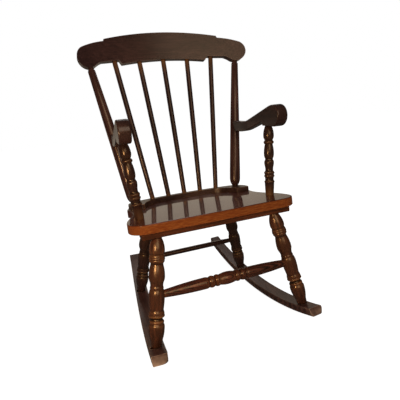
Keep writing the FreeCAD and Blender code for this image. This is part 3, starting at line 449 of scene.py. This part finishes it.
def profile_line(shares, length, radius):
    """The profile's points in metres as (height, radius), with its arcs filled in."""
    rows = [((height * length, girth * radius), kind) for height, girth, kind in shares]
    line = [rows[0][0]]
    for (start, kind), (end, next_kind) in zip(rows, rows[1:]):
        if "round" not in (kind, next_kind) or abs(start[1] - end[1]) < LEAST_STEP:
            line.append(end)
            continue
        if kind == next_kind:
            middle = ((start[0] + end[0]) / 2, (start[1] + end[1]) / 2)
            arcs = [(start, middle), (end, middle)]
        else:
            arcs = [(start, end) if kind == "round" else (end, start)]
        for crown, far in arcs:
            points = [arc_point(crown, far, step / ARC_STEPS) for step in range(ARC_STEPS + 1)]
            line.extend((points if crown == start else points[::-1])[1:])
    return line


bead = profile_line([(0, 0.5, "edge"), (0.5, 1, "round"), (1, 0.5, "edge")], 10, 5)
print("a bead has", len(bead), "points and a radius of", round(max(girth for height, girth in bead), 1), "mm")

# %% [markdown]
# ## Grooves and crowns
#
# The finish needs to know whether a point of a turning lies in a groove or proud on a bead. A texture
# could be baked for that, but the profile already tells. Each of its points is compared with the
# thickest and the thinnest place within a few millimetres, and the two results are stored on the
# points before they are spun, so that the skin inherits them.

# %% Grooves and crowns
GROOVE_REACH = 5 * MILLIMETRE
GROOVE_DEPTH = 3.2 * MILLIMETRE
GROOVE_FADE = 1.5


def groove_and_crown(line):
    """For each point of a profile, how deep in a groove and how proud it lies, from 0 to 1."""
    pairs = []
    for height, girth in line:
        near = [radius for place, radius in line if abs(place - height) <= GROOVE_REACH]
        deep = min((max(near) - girth) / GROOVE_DEPTH, 1) ** GROOVE_FADE
        proud = min((girth - min(near)) / 2 / GROOVE_DEPTH, 1)
        pairs.append((deep, proud) if girth else (0, 0))
    return pairs


def store_grain(mesh, to_grain):
    """Each vertex's place in the frame of its grain, whose Z runs along the wood."""
    attribute = mesh.attributes.new("grain", "FLOAT_VECTOR", "POINT")
    for vertex, entry in zip(mesh.vertices, attribute.data):
        entry.vector = to_grain @ vertex.co


print("a groove is full of dirt at", round(GROOVE_DEPTH / MILLIMETRE, 1), "mm")

# %% [markdown]
# ## Spinning
#
# `spin` turns the chain of edges into a skin. Its two ends lie on the axis, and there the rings of
# points fall together and are merged, so the skin is closed. The piece is spun upright and only then
# laid along its axis, so that its grain frame stays straight and its object stays at the origin.

# %% Spinning
TURNING_STEPS = 48
SHARP_TURNING = math.radians(38)
SAME_PLACE = 1e-6


def finish_piece(name, mesh, wood, slot_name, *replaced):
    """Put a mesh in the scene as a piece that stands for its CAD nodes."""
    mesh.materials.clear()
    mesh.materials.append(WOODS[wood])
    piece = bpy.data.objects.new(name, mesh)
    bpy.context.scene.collection.objects.link(piece)
    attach(piece, "root")
    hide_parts(*replaced)
    return piece


def turned_piece(node, start, end, radius, shares, wood, slot_name, twist=0.0):
    """Spin a profile between two points given in millimetres. twist turns its grain."""
    start, end = Vector(start) * MILLIMETRE, Vector(end) * MILLIMETRE
    axis = end - start
    line = profile_line(shares, axis.length, radius * MILLIMETRE)
    line = [(line[0][0], 0.0)] + line + [(line[-1][0], 0.0)]
    turning = bmesh.new()
    for name in ("groove", "crown"):
        turning.verts.layers.float.new(name)
    groove, crown = (turning.verts.layers.float[name] for name in ("groove", "crown"))
    corners = []
    for (height, girth), (deep, proud) in zip(line, groove_and_crown(line)):
        corner = turning.verts.new((girth, 0, height))
        corner[groove] = deep
        corner[crown] = proud
        corners.append(corner)
    edges = [turning.edges.new(pair) for pair in zip(corners, corners[1:])]
    bmesh.ops.spin(turning, geom=corners + edges, cent=(0, 0, 0), axis=(0, 0, 1), angle=2 * math.pi,
                   steps=TURNING_STEPS, use_merge=True)
    bmesh.ops.remove_doubles(turning, verts=turning.verts, dist=SAME_PLACE)
    bmesh.ops.recalc_face_normals(turning, faces=turning.faces)
    mesh = bpy.data.meshes.new(node)
    turning.to_mesh(mesh)
    turning.free()
    store_grain(mesh, Matrix.Rotation(twist, 4, "Z"))
    mesh.shade_smooth()
    mesh.set_sharp_from_angle(angle=SHARP_TURNING)
    mesh.transform(Matrix.Translation(start) @ axis.to_track_quat("Z", "Y").to_matrix().to_4x4())
    return finish_piece(f"{node}_turning", mesh, wood, slot_name, node)


print("turnings are spun in", TURNING_STEPS, "steps")

# %% [markdown]
# ## The legs
#
# The four legs are alike: a long taper from the rocker, a swelling with a bead above it, a long urn, a
# second swelling, a group of three rings and a neck that goes into the batten. The front pair stands
# on the rockers further forward than it meets the seat, so every leg is splayed two ways. A leg could
# be modelled upright and tilted as an object, but pieces here keep their place in their mesh, so each
# is spun between the two points where it starts and ends.

# %% Legs
LEG = [
    (-0.030, 0.56, "edge"), (0.006, 0.60, "edge"), (0.012, 0.66, "edge"), (0.060, 0.74, "edge"),
    (0.186, 1.00, "round"), (0.212, 0.90, "edge"), (0.217, 0.87, "edge"), (0.231, 0.92, "round"),
    (0.246, 0.80, "edge"), (0.261, 0.73, "round"), (0.272, 0.84, "edge"), (0.285, 1.00, "round"),
    (0.295, 0.94, "edge"), (0.302, 0.96, "round"), (0.334, 0.86, "edge"), (0.340, 0.86, "edge"),
    (0.470, 0.98, "round"), (0.520, 0.85, "edge"), (0.524, 0.81, "edge"), (0.535, 0.84, "round"),
    (0.546, 0.81, "edge"), (0.556, 0.79, "round"), (0.636, 1.00, "round"), (0.744, 0.80, "edge"),
    (0.756, 0.79, "edge"), (0.766, 0.87, "edge"), (0.780, 0.95, "round"), (0.788, 0.93, "edge"),
    (0.790, 0.95, "edge"), (0.800, 1.00, "round"), (0.813, 0.94, "edge"), (0.815, 0.96, "edge"),
    (0.822, 0.95, "round"), (0.834, 0.86, "edge"), (0.842, 0.88, "edge"), (0.874, 0.97, "round"),
    (0.985, 0.60, "edge"), (1.020, 0.57, "edge"),
]
LEG_RADIUS = 23.7
LEG_TWIST = 0.8
LEG_ENDS = {
    "leg_front": ((246.39, -281.93, 60.24), (191.5, -208.23, 364.04)),
    "leg_rear": ((215.31, 127.90, 30.51), (158.5, 98.95, 330.48)),
}


def left_and_right(ends):
    """The name, foot and top of each piece of a mirrored pair, from the right one's points."""
    return [(f"{node}_{side}", (sign * foot[0], *foot[1:]), (sign * top[0], *top[1:]))
            for node, (foot, top) in ends.items()
            for side, sign in (("left", -1), ("right", 1))]


for number, (node, foot, top) in enumerate(left_and_right(LEG_ENDS)):
    # The rear legs get the deeper brown, which on them is painted shade.
    wood = "rear" if "rear" in node else "turned"
    turned_piece(node, foot, top, LEG_RADIUS, LEG, wood, "turned_wood", twist=LEG_TWIST * number)
print(number + 1, "legs of", len(LEG), "profile points")

# %% [markdown]
# ## The arm posts
#
# Each arm rests at the front on a short post turned with the same vocabulary as the legs, on a smaller
# scale: a plain foot that widens upwards, a bead and a cove, two more beads, a long vase, a second
# urn, a sharp ring, and a bulb under the arm. A leg's profile could be shrunk for it, but the
# photograph shows other proportions, so the post has a profile of its own.

# %% Arm posts
ARM_POST = [
    (-0.004, 0.76, "edge"), (0.010, 0.79, "edge"), (0.185, 0.91, "edge"), (0.198, 0.97, "round"),
    (0.212, 0.90, "edge"), (0.228, 0.80, "round"), (0.262, 0.84, "edge"), (0.284, 0.98, "round"),
    (0.303, 0.86, "edge"), (0.318, 0.94, "edge"), (0.330, 0.98, "round"), (0.348, 0.86, "edge"),
    (0.372, 0.74, "round"), (0.484, 0.92, "round"), (0.532, 0.74, "round"), (0.548, 0.82, "edge"),
    (0.612, 0.95, "round"), (0.736, 0.76, "edge"), (0.744, 0.72, "edge"), (0.772, 0.96, "round"),
    (0.797, 0.74, "edge"), (0.806, 0.76, "edge"), (0.868, 1.00, "round"), (0.985, 0.72, "edge"),
    (0.998, 0.66, "edge"), (1.030, 0.50, "edge"),
]
ARM_POST_RADIUS = 17.6
ARM_POST_TWIST = 1.1
ARM_POST_ENDS = {"arm_post": ((223.0, -134.14, 402.22), (239.0, -113.32, 630.25))}
for number, (node, foot, top) in enumerate(left_and_right(ARM_POST_ENDS)):
    turned_piece(node, foot, top, ARM_POST_RADIUS, ARM_POST, "rear", "turned_wood",
                 twist=ARM_POST_TWIST * number)
print(number + 1, "arm posts of", len(ARM_POST), "profile points")

# %% [markdown]
# ## Posts and spindles of the back
#
# The two posts are thick near the seat and taper to the crest. The five spindles between them are
# almost straight, and all of them fan outwards and lean back. Cones would do for most of their length,
# but the few points of a profile also give them the shoulders where they enter the rail and the crest.

# %% Back posts and spindles
BACK_POST = [
    (-0.030, 0.57, "edge"), (0.006, 0.58, "edge"), (0.012, 0.68, "edge"), (0.060, 1.00, "round"),
    (0.120, 1.00, "edge"), (0.560, 0.84, "edge"), (0.985, 0.63, "edge"), (0.996, 0.50, "edge"),
    (1.020, 0.42, "edge"),
]
BACK_POST_RADIUS = 20.3
BACK_POST_TWIST = 0.9
BACK_POST_ENDS = {"back_post": ((200.0, 98.80, 392.87), (271.76, 191.31, 861.95))}
SPINDLE = [
    (-0.012, 0.74, "edge"), (-0.006, 0.93, "edge"), (0.300, 1.00, "round"), (1.000, 0.94, "edge"),
    (1.006, 0.74, "edge"),
]
SPINDLE_RADIUS = 9.4
SPINDLE_TWIST = 0.7
SPINDLE_ENDS = {
    "spindle_1": ((-127.2, 124.47, 390.07), (-184.34, 222.91, 886.22)),
    "spindle_2": ((-63.6, 132.01, 389.24), (-92.17, 238.20, 881.67)),
    "spindle_3": ((0.0, 134.51, 388.97), (0.0, 244.40, 885.45)),
    "spindle_4": ((63.6, 132.01, 389.24), (92.17, 238.20, 881.67)),
    "spindle_5": ((127.2, 124.47, 390.07), (184.34, 222.91, 886.22)),
}
for number, (node, foot, top) in enumerate(left_and_right(BACK_POST_ENDS)):
    turned_piece(node, foot, top, BACK_POST_RADIUS, BACK_POST, "post", "back_wood",
                 twist=BACK_POST_TWIST * number)
for number, (node, (foot, top)) in enumerate(SPINDLE_ENDS.items()):
    turned_piece(node, foot, top, SPINDLE_RADIUS, SPINDLE, "back", "back_wood", twist=SPINDLE_TWIST * number)
print("2 back posts and", len(SPINDLE_ENDS), "spindles")

# %% [markdown]
# ## The stretchers
#
# The front stretcher is a show piece: two long cigars with a group of beads on either side of a
# middle swelling. The rear one is plain. Both are the same from either end, so only one half of each
# profile is written down, and the other half is that one read backwards.

# %% Stretchers
FRONT_STRETCHER_RADIUS, REAR_STRETCHER_RADIUS = 19.5, 9.8
FRONT_STRETCHER_TWIST = 0.5


def both_ways(half):
    """A whole profile from its first half, with a swelling in the middle."""
    other = [(1 - height, girth, kind) for height, girth, kind in reversed(half)]
    return half + [(0.5, 1.0, "round")] + other


FRONT_STRETCHER = both_ways([
    (-0.020, 0.51, "edge"), (0.045, 0.64, "edge"), (0.330, 0.91, "round"), (0.350, 0.80, "edge"),
    (0.356, 0.79, "edge"), (0.377, 0.93, "round"), (0.396, 0.78, "edge"), (0.402, 0.78, "edge"),
    (0.420, 0.93, "round"), (0.437, 0.80, "edge"),
])
REAR_STRETCHER = both_ways([(-0.020, 0.80, "edge"), (0.050, 0.90, "edge"), (0.120, 1.00, "edge")])
turned_piece("front_stretcher", (-206.97, -247.8, 200.9), (206.97, -247.8, 200.9), FRONT_STRETCHER_RADIUS,
             FRONT_STRETCHER, "stretcher", "turned_wood", twist=FRONT_STRETCHER_TWIST)
# The rear stretcher gets the deeper brown, which on it is painted shade under the seat.
turned_piece("rear_stretcher", (-176.37, 115.19, 162.2), (176.37, 115.19, 162.2), REAR_STRETCHER_RADIUS,
             REAR_STRETCHER, "rear", "turned_wood")
print("2 stretchers of", len(FRONT_STRETCHER), "and", len(REAR_STRETCHER), "profile points")

# %% [markdown]
# ## Sawn pieces
#
# Seat, crest, arms, battens and rockers were sawn and then scraped and sanded, so their edges are
# rounded, more so where they are handled. Their outlines could be drawn again, but the CAD solids
# already have them. Each piece starts as a copy of its solid. The copy is loose triangles, so it is
# merged, its flat triangles are joined into whole faces, and the edges that turn sharply are bevelled
# in a few steps.

# %% Rounding a sawn piece
EDGE_STEPS = 4
MERGE_REACH = 1e-5
FLAT_ANGLE = math.radians(0.6)
SHARP_BOARD = math.radians(30)
ALONG_X = Quaternion((0, 1, 0), math.radians(-90)).to_matrix().to_4x4()
ALONG_Y = Quaternion((1, 0, 0), math.radians(90)).to_matrix().to_4x4()


def round_edges(board, edges, rounding):
    """Round edges by a radius in millimetres."""
    bmesh.ops.bevel(board, geom=edges, offset=rounding * MILLIMETRE, offset_type="OFFSET", affect="EDGES",
                    segments=EDGE_STEPS, profile=0.5, material=-1, clamp_overlap=True)


def finish_board(node, board, wood, slot_name, to_grain):
    """Make a worked board the piece that stands for its CAD node."""
    bmesh.ops.recalc_face_normals(board, faces=board.faces)
    mesh = bpy.data.meshes.new(node)
    board.to_mesh(mesh)
    board.free()
    store_grain(mesh, to_grain)
    mesh.shade_smooth()
    mesh.set_sharp_from_angle(angle=SHARP_BOARD)
    print(node, len(mesh.polygons), "faces")
    return finish_piece(f"{node}_board", mesh, wood, slot_name, node)


def sawn_piece(node, rounding, wood, slot_name, to_grain, sharp=32, reshape=None, carve=None,
               worn_place=None):
    """A copy of a CAD node with its edges sharper than sharp degrees rounded. reshape moves its points,
    carve then cuts it, and worn_place tells how rubbed a point is."""
    board = bmesh.new()
    board.from_mesh(nodes[node].data)
    bmesh.ops.remove_doubles(board, verts=board.verts, dist=MERGE_REACH)
    bmesh.ops.dissolve_limit(board, angle_limit=FLAT_ANGLE, verts=board.verts, edges=board.edges)
    for corner in board.verts if reshape else []:
        corner.co = reshape(corner.co)
    if carve:
        carve(board)
    least = math.radians(sharp)
    edges = [edge for edge in board.edges if edge.is_manifold and edge.calc_face_angle(0) > least]
    round_edges(board, edges, rounding)
    bmesh.ops.remove_doubles(board, verts=board.verts, dist=SAME_PLACE)
    piece = finish_board(node, board, wood, slot_name, to_grain)
    if worn_place:
        crown = piece.data.attributes.new("crown", "FLOAT", "POINT")
        crown.data.foreach_set("value", [worn_place(vertex.co) for vertex in piece.data.vertices])
    flats = piece.modifiers.new("flats", "WEIGHTED_NORMAL")
    flats.keep_sharp = True
    return piece


print("edges are rounded in", EDGE_STEPS, "steps")

# %% [markdown]
# ## Fuller arms and rockers
#
# In the photograph the arms run out towards the hand, the rockers' outer sides swell a little, and
# each rocker's front corner towards the viewer's right is rounded off. The pieces could be modelled
# anew for that, but the solids are only a few millimetres short of it. So these functions move the
# points of the copy before its edges are rounded, or slice it. A bevel that wide would run into its
# neighbours on the rocker's narrow nose, so the nose is cut by planes that touch an arc.

# %% Fuller arms
ARM_INNER, ARM_GAUGE = 222.93 * MILLIMETRE, 24 * MILLIMETRE
ARM_FRONT, ARM_FRONT_WIDTH = -167 * MILLIMETRE, 35 * MILLIMETRE
ARM_BACK, ARM_BACK_WIDTH = 144 * MILLIMETRE, 21 * MILLIMETRE


def flared(point):
    """The arm's outer face runs out towards the front, where the hand rests."""
    share = (point.y - ARM_FRONT) / (ARM_BACK - ARM_FRONT)
    width = ARM_FRONT_WIDTH + (ARM_BACK_WIDTH - ARM_FRONT_WIDTH) * share
    out = ARM_INNER + (abs(point.x) - ARM_INNER) * width / ARM_GAUGE
    return Vector((math.copysign(out, point.x), point.y, point.z))


print("arms", [round(width / MILLIMETRE) for width in (ARM_FRONT_WIDTH, ARM_BACK_WIDTH)], "mm wide")

# %% Fuller rockers
ROCKER_GAUGE, ROCKER_TOE, ROCKER_HALF = 221.5 * MILLIMETRE, 27.6 * MILLIMETRE, 366 * MILLIMETRE
ROCKER_HALF_WIDTH = 20.5 * MILLIMETRE
SWELL, SWELL_MIDDLE, SWELL_REACH = 8 * MILLIMETRE, 0.25, 1.2
ROCKER_NOSE, ROCKER_TIP = -350 * MILLIMETRE, -358 * MILLIMETRE
NOSE_ROUNDING = 22 * MILLIMETRE
NOSE_CUTS = 6
NOSE_WEAR = 0.6


def fuller(point):
    """The rocker's outer side swells between its ends."""
    middle = ROCKER_GAUGE - ROCKER_TOE * point.y / ROCKER_HALF
    across = abs(point.x) - middle
    swell = SWELL * max(1 - ((point.y / ROCKER_HALF + SWELL_MIDDLE) / SWELL_REACH) ** 2, 0)
    out = middle + across + swell * max(across / ROCKER_HALF_WIDTH, 0)
    return Vector((math.copysign(out, point.x), point.y, point.z))


def round_nose(board):
    """Slice a rocker's front corner towards +X along planes that touch an upright arc."""
    side = math.copysign(1, sum(vertex.co.x for vertex in board.verts))
    tip = max((vertex.co for vertex in board.verts if vertex.co.y < ROCKER_TIP), key=lambda point: point.x)
    centre = Vector((tip.x - NOSE_ROUNDING, tip.y + NOSE_ROUNDING, 0))
    turn = -side * math.atan2(ROCKER_TOE, ROCKER_HALF)
    for cut in range(NOSE_CUTS):
        angle = math.radians(90) * (cut + 0.5) / NOSE_CUTS + turn * (1 - cut / NOSE_CUTS)
        outward = Vector((math.cos(angle), -math.sin(angle), 0))
        whole = board.verts[:] + board.edges[:] + board.faces[:]
        sliced = bmesh.ops.bisect_plane(board, geom=whole, dist=SAME_PLACE, clear_outer=True,
                                        plane_co=centre + outward * NOSE_ROUNDING, plane_no=outward)
        rim = [part for part in sliced["geom_cut"] if isinstance(part, bmesh.types.BMEdge)]
        bmesh.ops.holes_fill(board, edges=rim, sides=0)


def worn_nose(point):
    """The rocker's front end is rubbed pale."""
    return NOSE_WEAR if point.y < ROCKER_NOSE else 0.0


print("rockers swell by", round(SWELL / MILLIMETRE), "mm, their noses are cut", NOSE_CUTS, "times")

# %% [markdown]
# ## The back rail
#
# The rail is a thick curved piece glued on the seat, which the posts and spindles stand in. Its ends
# bend forward and grow broad, and their inner side swings back in a curve. That curve isn't in the
# solid, so the rail can't be a copy of it. Its outline is drawn in plan instead, as arcs and one
# Bezier bend, one half and then the mirrored other, and it is extruded between the planes of the
# solid's underside and top, so that it still fits seat and spindles.

# %% The rail's outline, in millimetres
RAIL_CENTRE, RAIL_FRONT, RAIL_BACK = -671.5, 793.0, 819.0      # the big arcs: centre on Y, two radii
FRONT_END = 0.1011                                             # how far the front arc runs, in radians
BEND_START, BEND_CENTRE, BEND_BACK = 0.2126, (158.4, 62.6), 68.0
RAIL_TIP, TIP_ROUNDING = 25.0, 9.0
TIP_CORNER = [(180.0, 25.0), (175.5, 26.3), (174.0, 30.0)]
KNEE = [(174.0, 30.0), (158.0, 108.0), (80.0, 117.4)]          # start, handle and end of the bend
RAIL_STEPS = 12


def swung(centre, radius, first, last):
    """Points of an arc in plan, with its angles measured from +Y towards +X."""
    angles = [first + (last - first) * step / RAIL_STEPS for step in range(RAIL_STEPS + 1)]
    return [(centre[0] + radius * math.sin(angle), centre[1] + radius * math.cos(angle)) for angle in angles]


def rail_half():
    """The rail's right half in plan: round its back to the tip, and back along a front that swings out."""
    outside = BEND_CENTRE[0] + BEND_BACK
    quarter = math.pi / 2
    points = swung((0, RAIL_CENTRE), RAIL_BACK, 0, BEND_START)
    points += swung(BEND_CENTRE, BEND_BACK, BEND_START, quarter)
    points += swung((outside - TIP_ROUNDING, RAIL_TIP + TIP_ROUNDING), TIP_ROUNDING, quarter, 2 * quarter)
    points += TIP_CORNER
    start, handle, end = (Vector(point) for point in KNEE)
    for step in range(1, RAIL_STEPS):
        share = step / RAIL_STEPS
        points.append(tuple(start.lerp(handle, share).lerp(handle.lerp(end, share), share)))
    return points + swung((0, RAIL_CENTRE), RAIL_FRONT, FRONT_END, 0)


print("half the rail has", len(rail_half()), "points")

# %% The rail
SEAT_NORMAL = Vector((0, 0.108586, 0.994087))
TOP_ROUNDING = 4.5
TOP_REACH = 1e-4
RIM_ANGLE = 1


def bent_rail():
    """The rail, between the planes of the CAD node's underside and top."""
    heights = [SEAT_NORMAL.dot(vertex.co) for vertex in nodes["back_rail"].data.vertices]
    low, high = min(heights), max(heights)
    half = rail_half()
    rail = bmesh.new()
    corners = []
    for across, depth in half + [(-across, depth) for across, depth in half[-2:0:-1]]:
        across, depth = across * MILLIMETRE, depth * MILLIMETRE
        corners.append(rail.verts.new((across, depth, (low - depth * SEAT_NORMAL.y) / SEAT_NORMAL.z)))
    base = rail.faces.new(corners)
    lifted = bmesh.ops.extrude_face_region(rail, geom=[base])["geom"]
    lifted = [part for part in lifted if isinstance(part, bmesh.types.BMVert)]
    bmesh.ops.translate(rail, verts=lifted, vec=SEAT_NORMAL * (high - low))
    bmesh.ops.remove_doubles(rail, verts=rail.verts, dist=MERGE_REACH)
    top = {vertex for vertex in rail.verts if SEAT_NORMAL.dot(vertex.co) > high - TOP_REACH}
    rim = [edge for edge in rail.edges if top.issuperset(edge.verts) and edge.calc_face_angle(0) > RIM_ANGLE]
    round_edges(rail, rim, TOP_ROUNDING)
    return finish_board("back_rail", rail, "rail", "back_wood", ALONG_X)


bent_rail()

# %% [markdown]
# ## Seat, crest, arms, battens and rockers
#
# These are the boards of the chair: one thick seat, a stepped crest, two scrolled arms, two battens
# under the seat and two sawn rockers. Each could get its own block of code, but they differ only in
# how far their edges are rounded, in their wood, in the run of their grain and in how their shape is
# changed, so one table makes them all. The crest's edges are the softest.

# %% Boards
BOARDS = {
    # node: rounding in millimetres, wood, slot, grain, and how its shape is changed
    "seat": (1.5, "seat", "seat_wood", ALONG_X),
    "crest_rail": (3.0, "crest", "crest_wood", ALONG_X),
    "arm_left": (1.5, "arm", "arm_wood", ALONG_Y, 32, flared),
    "arm_right": (1.5, "arm", "arm_wood", ALONG_Y, 32, flared),
    "batten_front": (1.5, "under", "under_wood", ALONG_X),
    "batten_rear": (1.5, "under", "under_wood", ALONG_X),
    "rocker_left": (1.5, "rocker", "rocker_wood", ALONG_Y, 20, fuller, round_nose, worn_nose),
    "rocker_right": (1.5, "rocker", "rocker_wood", ALONG_Y, 20, fuller, round_nose, worn_nose),
}
for node, board_values in BOARDS.items():
    sawn_piece(node, *board_values)
print(len(BOARDS), "boards")

# %% [markdown]
# ## Screws and plugs
#
# The screws that hold the battens, rockers and arms are hidden, or seen only from below, and the plugs
# that cover the arm screws are wood. The screws could be given threads and slots, but they would stay
# unseen, so their CAD solids are kept and only get an aged steel, mottled in colour and gloss.

# %% Screws and plugs
MOTTLES_PER_METRE = 900.0
MOTTLE_START, MOTTLE_END = 0.3, 0.7
STEEL_DARK, STEEL_LIGHT = linear("6f6a63"), linear("a9a49b")
STEEL_DULL, STEEL_BRIGHT = 0.55, 0.34
PLUG_ROUNDING = 0.4


def old_steel(name):
    """Machined steel, dulled by age: a metal with a mottled, fairly rough surface."""
    material = bare_material(name)
    tree = material.node_tree
    place = add_node(tree, "TexCoord").outputs["Object"]
    mottle = add_node(tree, "TexNoise", Vector=place, Scale=MOTTLES_PER_METRE, Detail=3.0)
    mottle = mottle.outputs["Fac"]
    colour = add_node(tree, "ValToRGB", Fac=mottle,
                      stops=[(MOTTLE_START, STEEL_DARK), (MOTTLE_END, STEEL_LIGHT)])
    dull = add_node(tree, "ValToRGB", Fac=mottle,
                    stops=[(MOTTLE_START, grey(STEEL_DULL)), (MOTTLE_END, grey(STEEL_BRIGHT))])
    bump = add_node(tree, "Bump", Strength=0.2, Distance=0.1 * MILLIMETRE, Height=mottle)
    shader = add_node(tree, "BsdfPrincipled", Base_Color=colour, Roughness=dull, Metallic=1.0,
                      Normal=bump)
    add_node(tree, "OutputMaterial", Surface=shader)
    return material


STEEL = old_steel("aged_machined_steel")
SCREWS = ("batten_screws", "rocker_screws", "arm_screws")
for node in SCREWS:
    nodes[node].data.materials.clear()
    nodes[node].data.materials.append(STEEL)
sawn_piece("arm_screw_plugs", PLUG_ROUNDING, "arm", "back_wood", ALONG_Y)
print(len(SCREWS), "sets of screws in steel, plugs in wood")

# %% [markdown]
# ## The floor
#
# The photograph has a pure white ground with hardly a shadow. A plane lit until it is white would
# leave the chair bleached. So the light stays plain, and the Light Path node tells what looks at the
# plane. To the camera most of its brightness is its own, with a soft shadow under the rockers. To the
# varnish it is the floor of a room that darkens towards the viewer, as what the seat mirrors does.

# %% The ground's paper
PAPER, SHADED_PAPER, PAPER_GLOW = 0.80, 0.30, 0.93
WALL_COLOUR, NEAR_COLOUR = linear("b5a896"), linear("46423c")
FLOOR_DEPTH, NEAR_PLACE, FAR_PLACE = 4.0, 0.3, 0.8


def watching_rays(tree):
    """The kinds of rays, and whether a ray comes from the camera, straight or through glass."""
    rays = add_node(tree, "LightPath").outputs
    seen = add_node(tree, "Math", {"operation": "MAXIMUM"}, _0=rays["Is Camera Ray"],
                    _1=rays["Is Transmission Ray"])
    return rays, seen


GROUND = bare_material("white_paper_ground")
tree = GROUND.node_tree
rays, seen = watching_rays(tree)
paper = add_node(tree, "BsdfDiffuse", Color=grey(PAPER))
shaded = add_node(tree, "BsdfDiffuse", Color=grey(SHADED_PAPER))
glow = add_node(tree, "Emission", Color=grey(1.0), Strength=PAPER_GLOW)
lifted = add_node(tree, "AddShader", _0=shaded, _1=glow)
ground = add_node(tree, "MixShader", _0=seen, _1=paper, _2=lifted)
place = add_node(tree, "TexCoord").outputs["Object"]
depth = add_node(tree, "SeparateXYZ", Vector=place).outputs["Y"]
depth = add_node(tree, "MapRange", Value=depth, From_Min=0.0, From_Max=FLOOR_DEPTH)
far = add_node(tree, "ValToRGB", Fac=depth,
               stops=[(NEAR_PLACE, NEAR_COLOUR), (FAR_PLACE, WALL_COLOUR)])
mirrored = add_node(tree, "Emission", Color=far, Strength=1.0)
ground = add_node(tree, "MixShader", _0=rays["Is Glossy Ray"], _1=ground, _2=mirrored)
add_node(tree, "OutputMaterial", Surface=ground)
print("the paper glows at", PAPER_GLOW, "to the camera")

# %% Floor
FLOOR_SIZE = 14.0
sheet = bmesh.new()
bmesh.ops.create_grid(sheet, x_segments=1, y_segments=1, size=FLOOR_SIZE / 2)
floor_mesh = bpy.data.meshes.new("floor")
sheet.to_mesh(floor_mesh)
sheet.free()
floor_mesh.materials.append(GROUND)
floor = bpy.data.objects.new("floor", floor_mesh)
bpy.context.scene.collection.objects.link(floor)
print("floor", FLOOR_SIZE, "m wide")

# %% [markdown]
# ## The room's light
#
# The camera sees white all round. The chair is lit by an even, dim room, and what its varnish mirrors
# is darker still, apart from one pale wall behind it, which shows on the seat between the spindles'
# reflections. A real wall could stand there, but it would also cast light and be seen, so the wall is
# a spot in the world's colour, around the direction in which it lies.

# %% World
WALL_BEHIND = (0.21, 0.976, 0.06)
WALL_EDGE, WALL_FULL = 0.88, 0.975
ROOM_GREY, ROOM_MIRRORED = 0.45, linear("2a2825")

world = bpy.data.worlds.new("studio")
bpy.context.scene.world = world
world.use_nodes = True
tree = world.node_tree
tree.nodes.clear()
rays, seen = watching_rays(tree)
direction = add_node(tree, "TexCoord").outputs["Generated"]
toward = add_node(tree, "VectorMath", {"operation": "DOT_PRODUCT"}, _0=direction, _1=WALL_BEHIND)
wall = add_node(tree, "ValToRGB", Fac=toward.outputs["Value"],
                stops=[(WALL_EDGE, ROOM_MIRRORED), (WALL_FULL, WALL_COLOUR)])
room = add_node(tree, "Mix", {"data_type": "RGBA"}, Factor=rays["Is Glossy Ray"],
                A=grey(ROOM_GREY), B=wall)
air = add_node(tree, "Background", Color=room, Strength=1.0)
backdrop = add_node(tree, "Background", Color=grey(1.0), Strength=1.0)
sky = add_node(tree, "MixShader", _0=seen, _1=air, _2=backdrop)
add_node(tree, "OutputWorld", Surface=sky)
print("room at", ROOM_GREY, "of full light")

# %% [markdown]
# ## The lamps
#
# Three lamps do the rest. A small warm one close by, at the viewer's left, makes the short golden
# glints on the turnings. A larger one in front and above lights the chair evenly, and one behind rims
# the back. Point lamps would leave hard shadows, so these are area lamps. The camera doesn't see them,
# only their light.

# %% Lamps
LAMPS = {
    # name: place, size, power in watts, colour
    "key": ((-0.62, -0.76, 0.62), 0.16, 3.4, "ffdfb6"),
    "fill": ((0.0, -2.6, 2.0), 1.8, 23, "fff6ea"),
    "back": ((0.6, 2.4, 2.2), 1.6, 12, "ffffff"),
}
AIM = Vector((0, 0, 0.45))
for name, (place, size, power, tint) in LAMPS.items():
    lamp = bpy.data.lights.new(name, "AREA")
    lamp.size = size
    lamp.energy = power
    lamp.color = linear(tint)[:3]
    holder = bpy.data.objects.new(name, lamp)
    aimed = (AIM - Vector(place)).to_track_quat("-Z", "Y").to_matrix().to_4x4()
    holder.matrix_world = Matrix.Translation(place) @ aimed
    holder.visible_camera = False
    bpy.context.scene.collection.objects.link(holder)
print(len(LAMPS), "lamps")
